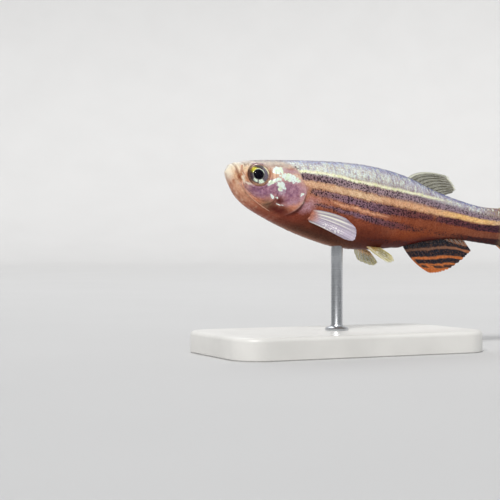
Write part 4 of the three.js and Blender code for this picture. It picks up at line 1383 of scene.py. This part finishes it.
def eye_shader():
    """Black pupil under a wet surface, in an iris of gold, silver and slate."""
    s = Shader("eye_shine", Specular_IOR_Level=0.06)
    streaks = s.streaks(s.field("turn") * 14.0, s.field("radius") * 5.0, 3.0)
    grain = s.lumps(16000, 2.0)
    s.tones = s.mix(streaks.rise(0.35, 0.65), (0.2, 0.14, 0.15), (0.36, 0.28, 0.28))
    s.paint_fields(
        ("slate", 0.8, s.mix(grain.rise(0.4, 0.6), (0.36, 0.34, 0.4), (0.52, 0.5, 0.54))),
        ("gold", 1.0, s.mix(streaks.rise(0.4, 0.6), (0.86, 0.8, 0.16), (0.97, 0.95, 0.45))),
        ("silver", 1.0, s.mix(grain.rise(0.35, 0.6), (0.75, 0.86, 0.78), (0.98, 1.0, 0.94))),
        ("rind", 0.95, s.mix(grain.rise(0.35, 0.65), (0.5, 0.35, 0.3), (0.78, 0.6, 0.48))),
        ("dusk", 0.8, (0.2, 0.13, 0.14)), ("arc", 1.0, (0.98, 0.93, 0.72)),
        ("pupil", 1.0, (0.03, 0.02, 0.07)),
    )
    s.set("Metallic", (s.field("gold") + s.field("silver")).clamp() * 0.5)
    s.set("Roughness", s.field("pupil").rise(2.6, -0.1))
    return s.finished(streaks, 2e-5, 0.5)


def cornea_shader():
    """A clear film that only shines."""
    s = Shader("cornea_film")
    share = s.node("ShaderNodeFresnel", 0, {"IOR": 1.34}) * 0.3
    clear = s.node("ShaderNodeBsdfTransparent", 0, {})
    gloss = s.node("ShaderNodeBsdfGlossy", 0, {"Roughness": 0.02})
    film = s.node("ShaderNodeMixShader", 0, {0: share, 1: clear, 2: gloss})
    s.feed(s.tree.nodes["Material Output"].inputs["Surface"], film)
    s.tree.nodes.remove(s.surface)
    return s.material


def barbel_shader():
    s = Shader("barbel_skin", Coat_Weight=0.5, Coat_Roughness=0.15, Roughness=0.4)
    stops = [(0.0, (0.78, 0.54, 0.43)), (0.6, (0.82, 0.6, 0.49)), (1.0, (0.84, 0.64, 0.54))]
    s.tones = s.ramp(s.field("reach"), stops)
    s.paint(s.cells(9000).rise(0.24, 0.14) * 0.5, (0.42, 0.28, 0.26))
    return s.finished(s.lumps(9000, 2.0), 1e-5, 0.5)


def base_shader():
    """Cast acrylic, satin, with the faint waviness and dust of handling."""
    s = Shader("stand_acrylic", Coat_Weight=0.25, Coat_Roughness=0.2)
    s.tones = s.mix(s.lumps(140, 3.0).rise(0.35, 0.65), (0.85, 0.845, 0.83), (0.89, 0.885, 0.87))
    s.set("Roughness", s.lumps(1800, 4.0) * 0.2 + 0.28)
    return s.finished(s.lumps(2600, 2.0), 1.2e-5, 0.4)


def rod_shader():
    """Brushed steel, with fine rings from the turning."""
    s = Shader("rod_steel", Metallic=1.0)
    height = s.node("ShaderNodeSeparateXYZ", "Z", {"Vector": s.place()})
    rings = s.streaks(height * 24000.0, 0.0, 4.0)
    s.tones = s.mix(rings, (0.72, 0.73, 0.75), (0.85, 0.86, 0.87))
    s.set("Roughness", rings * 0.16 + 0.2)
    return s.finished(rings, 4e-6, 0.6)


# Stand
STAND = {"length": 28.0, "width": 15.0, "height": 2.2, "corner": 3.0, "edge": 0.45, "rod": 0.6}
STAND_BEVEL = 0.12
CORNER_STEPS = 16
EDGE_STEPS = 8
ROD_SIDES = 64


def base_outline(inset, height):
    """The base's outline at a height, drawn in by the inset, with round corners."""
    corner = STAND["corner"]
    x, y = STAND["length"] / 2 - corner, STAND["width"] / 2 - corner
    ring = []
    for quarter, (cx, cy) in enumerate(((x, -y), (x, y), (-x, y), (-x, -y))):
        angle = np.linspace(0, math.pi / 2, CORNER_STEPS + 1) + (quarter - 1) * math.pi / 2
        reach = corner - inset
        points = [cx + reach * np.cos(angle), cy + reach * np.sin(angle), 0 * angle + height]
        ring.append(np.stack(points, -1))
    return np.concatenate(ring)


def stand_piece(name, rings):
    """A closed solid over rings of row-frame points in millimetres, flat at both ends."""
    rings = np.array(rings)
    faces = tube_faces(*rings.shape[:2], ("flat", "flat"), flipped=True)
    return make_piece(name, rings.reshape(-1, 3) / 1000, faces, sharp=40)


def base_piece():
    """The flat base, its corners and upper edge rounded."""
    edge, height = STAND["edge"], STAND["height"]
    rings = [base_outline(STAND_BEVEL, 0.0), base_outline(0.0, STAND_BEVEL)]
    for angle in np.linspace(0, math.pi / 2, EDGE_STEPS + 1):
        inset, drop = edge * (1 - math.cos(angle)), edge * (1 - math.sin(angle))
        rings.append(base_outline(inset, height - drop))
    return stand_piece("stand_base_block", rings)


def rod_piece():
    """The rod, with a small collar where it stands in the base and a cup under the belly."""
    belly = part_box("stand_rod")[1].z * 1000
    foot, radius = STAND["height"], STAND["rod"]
    outline = [
        (radius * 2.0, foot), (radius * 2.0, foot + 0.18), (radius * 1.75, foot + 0.34),
        (radius * 1.2, foot + 0.42), (radius, foot + 0.6), (radius, belly - 0.9),
        (radius * 1.02, belly - 0.2), (radius * 0.9, belly + 0.35),
    ]
    return stand_piece("stand_rod_turned", round_rings(outline, ROD_SIDES))


# Stage, in metres
STAGE = {"radius": 1.1, "wall": 0.9, "bend": 0.35, "floor_rings": (0.05, 0.2, 0.45), "sides": 96}
BEND_STEPS = 12


def build_stage():
    """A pale floor that rises into a round wall far behind the part, on every side."""
    radius, bend = STAGE["radius"], STAGE["bend"]
    outline = [(ring, 0.0) for ring in STAGE["floor_rings"]]
    for angle in np.linspace(0, math.pi / 2, BEND_STEPS + 1):
        outline.append((radius - bend + bend * math.sin(angle), bend - bend * math.cos(angle)))
    outline.append((radius, STAGE["wall"]))
    rings = round_rings(outline, STAGE["sides"])
    faces = tube_faces(*rings.shape[:2], ("flat", "open"))
    floor = make_piece("floor", rings.reshape(-1, 3), faces)
    s = Shader("floor_paper", Roughness=0.8)
    s.set("Base Color", s.mix(s.lumps(30, 2.0), (0.77, 0.77, 0.77), (0.79, 0.79, 0.79)))
    floor.data.materials.append(s.material)


def add_sun(name, azimuth, elevation, softness, strength, colour):
    """A far lamp. The azimuth turns from the part's front towards its right end."""
    light = bpy.data.lights.new(name, "SUN")
    light.angle = math.radians(softness)
    light.energy = strength
    light.color = colour
    lamp = bpy.data.objects.new(name, light)
    bpy.context.scene.collection.objects.link(lamp)
    turn, height = math.radians(azimuth), math.radians(elevation)
    flat = math.cos(height)
    towards = Vector((math.sin(turn) * flat, -math.cos(turn) * flat, math.sin(height)))
    lamp.rotation_euler = towards.to_track_quat("Z", "Y").to_euler()


def build_lights():
    add_sun("key", -42.0, 46.0, 22.0, 2.9, (1.0, 0.985, 0.965))
    add_sun("fill", 40.0, 38.0, 60.0, 0.35, (0.95, 0.975, 1.0))
    add_sun("rim", 165.0, 50.0, 30.0, 0.6, (0.96, 0.98, 1.0))
    world = bpy.data.worlds.new("studio")
    world.use_nodes = True
    background = world.node_tree.nodes["Background"]
    background.inputs["Color"].default_value = (0.88, 0.9, 0.93, 1.0)
    background.inputs["Strength"].default_value = 0.45
    bpy.context.scene.world = world


def build_camera():
    """The photograph's camera: level, at the snout's height less the rise of its pixel."""
    angle = math.radians(CAMERA["azimuth"])
    right = np.array([math.cos(angle), math.sin(angle), 0.0])
    forward = np.array([-math.sin(angle), math.cos(angle), 0.0])
    up = np.array([0.0, 0.0, 1.0])
    focal = CAMERA["lens"] / CAMERA["sensor"] * CAMERA["image"]
    middle = CAMERA["image"] / 2
    aside = (SNOUT_PIXEL[0] - middle) * CAMERA["distance"] / focal
    above = (middle - SNOUT_PIXEL[1]) * CAMERA["distance"] / focal
    data = bpy.data.cameras.new("camera")
    data.lens = CAMERA["lens"]
    data.sensor_width = CAMERA["sensor"]
    data.clip_start = 0.002
    data.clip_end = 10.0
    camera = bpy.data.objects.new("camera", data)
    bpy.context.scene.collection.objects.link(camera)
    camera.location = (SHIFT - aside * right - above * up - CAMERA["distance"] * forward) / 1000
    camera.rotation_euler = Vector(forward).to_track_quat("-Z", "Y").to_euler()
    bpy.context.scene.camera = camera


# Assembly
def finish_piece(piece, material, slot, *nodes):
    """Gives a piece its material and sets it on the body in place of its nodes; the slot is not used."""
    piece.data.materials.append(material)
    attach(piece, "root")
    if nodes:
        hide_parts(*nodes)


build_camera()
build_lights()
build_stage()

finish_piece(
    skin_piece(), flesh_shader("skin_wet", scaled=False), "body_skin",
    "head", "lower_jaw", "gill_cover_left", "gill_cover_right", "trunk", "tail_stem",
)
scale_finish = flesh_shader("scale_wet", scaled=True)
all_roots = scale_roots()
for word, side in SIDES.items():
    piece = scale_piece(f"scales_{word}", all_roots, side, seed=40 + side)
    finish_piece(piece, scale_finish, "body_skin")

FIN_LOOKS = {
    "dorsal_fin": (
        dorsal_masks, fin_shader("dorsal_membrane", (0.58, 0.57, 0.43), (0.36, 0.33, 0.27), 0.36),
    ),
    "anal_fin": (
        anal_masks, fin_shader("anal_membrane", (0.66, 0.42, 0.22), (0.62, 0.36, 0.18), 0.5),
    ),
    "caudal_fin": (
        caudal_masks, fin_shader("caudal_membrane", (0.74, 0.72, 0.56), (0.7, 0.68, 0.56), 0.4),
    ),
    "pectoral_fin": (
        pectoral_masks,
        fin_shader(
            "pectoral_membrane", (0.74, 0.69, 0.76), (0.78, 0.74, 0.81), 0.8, warm=(0.66, 0.4, 0.28),
        ),
    ),
    "pelvic_fin": (
        pelvic_masks, fin_shader("pelvic_membrane", (0.6, 0.56, 0.34), (0.74, 0.68, 0.38), 0.42),
    ),
}
for name, form in FINS.items():
    masks, material = FIN_LOOKS[name]
    if "right_turn" in form:
        for word, side in SIDES.items():
            piece = fin_piece(f"{name}_{word}_membrane", form, side, masks)
            finish_piece(piece, material, "paired_fin", f"{name}_{word}")
    else:
        finish_piece(fin_piece(f"{name}_membrane", form, -1, masks), material, name, name)

eye_finish, cornea_finish, barbel_finish = eye_shader(), cornea_shader(), barbel_shader()
for word, side in SIDES.items():
    iris = turned_piece(f"iris_{word}", side, EYE_PROFILE, EYE_GRID, iris_masks)
    finish_piece(iris, eye_finish, "eye", f"eye_{word}")
    cornea = turned_piece(f"cornea_{word}", side, CORNEA_PROFILE, CORNEA_GRID)
    finish_piece(cornea, cornea_finish, "eye")
    for name, route in BARBELS.items():
        piece = barbel_piece(f"{name}_{word}_soft", route, side)
        finish_piece(piece, barbel_finish, "barbel", f"{name}_{word}")

finish_piece(base_piece(), base_shader(), "stand_base", "stand_base")
finish_piece(rod_piece(), rod_shader(), "stand_rod", "stand_rod")

bpy.context.view_layer.update()
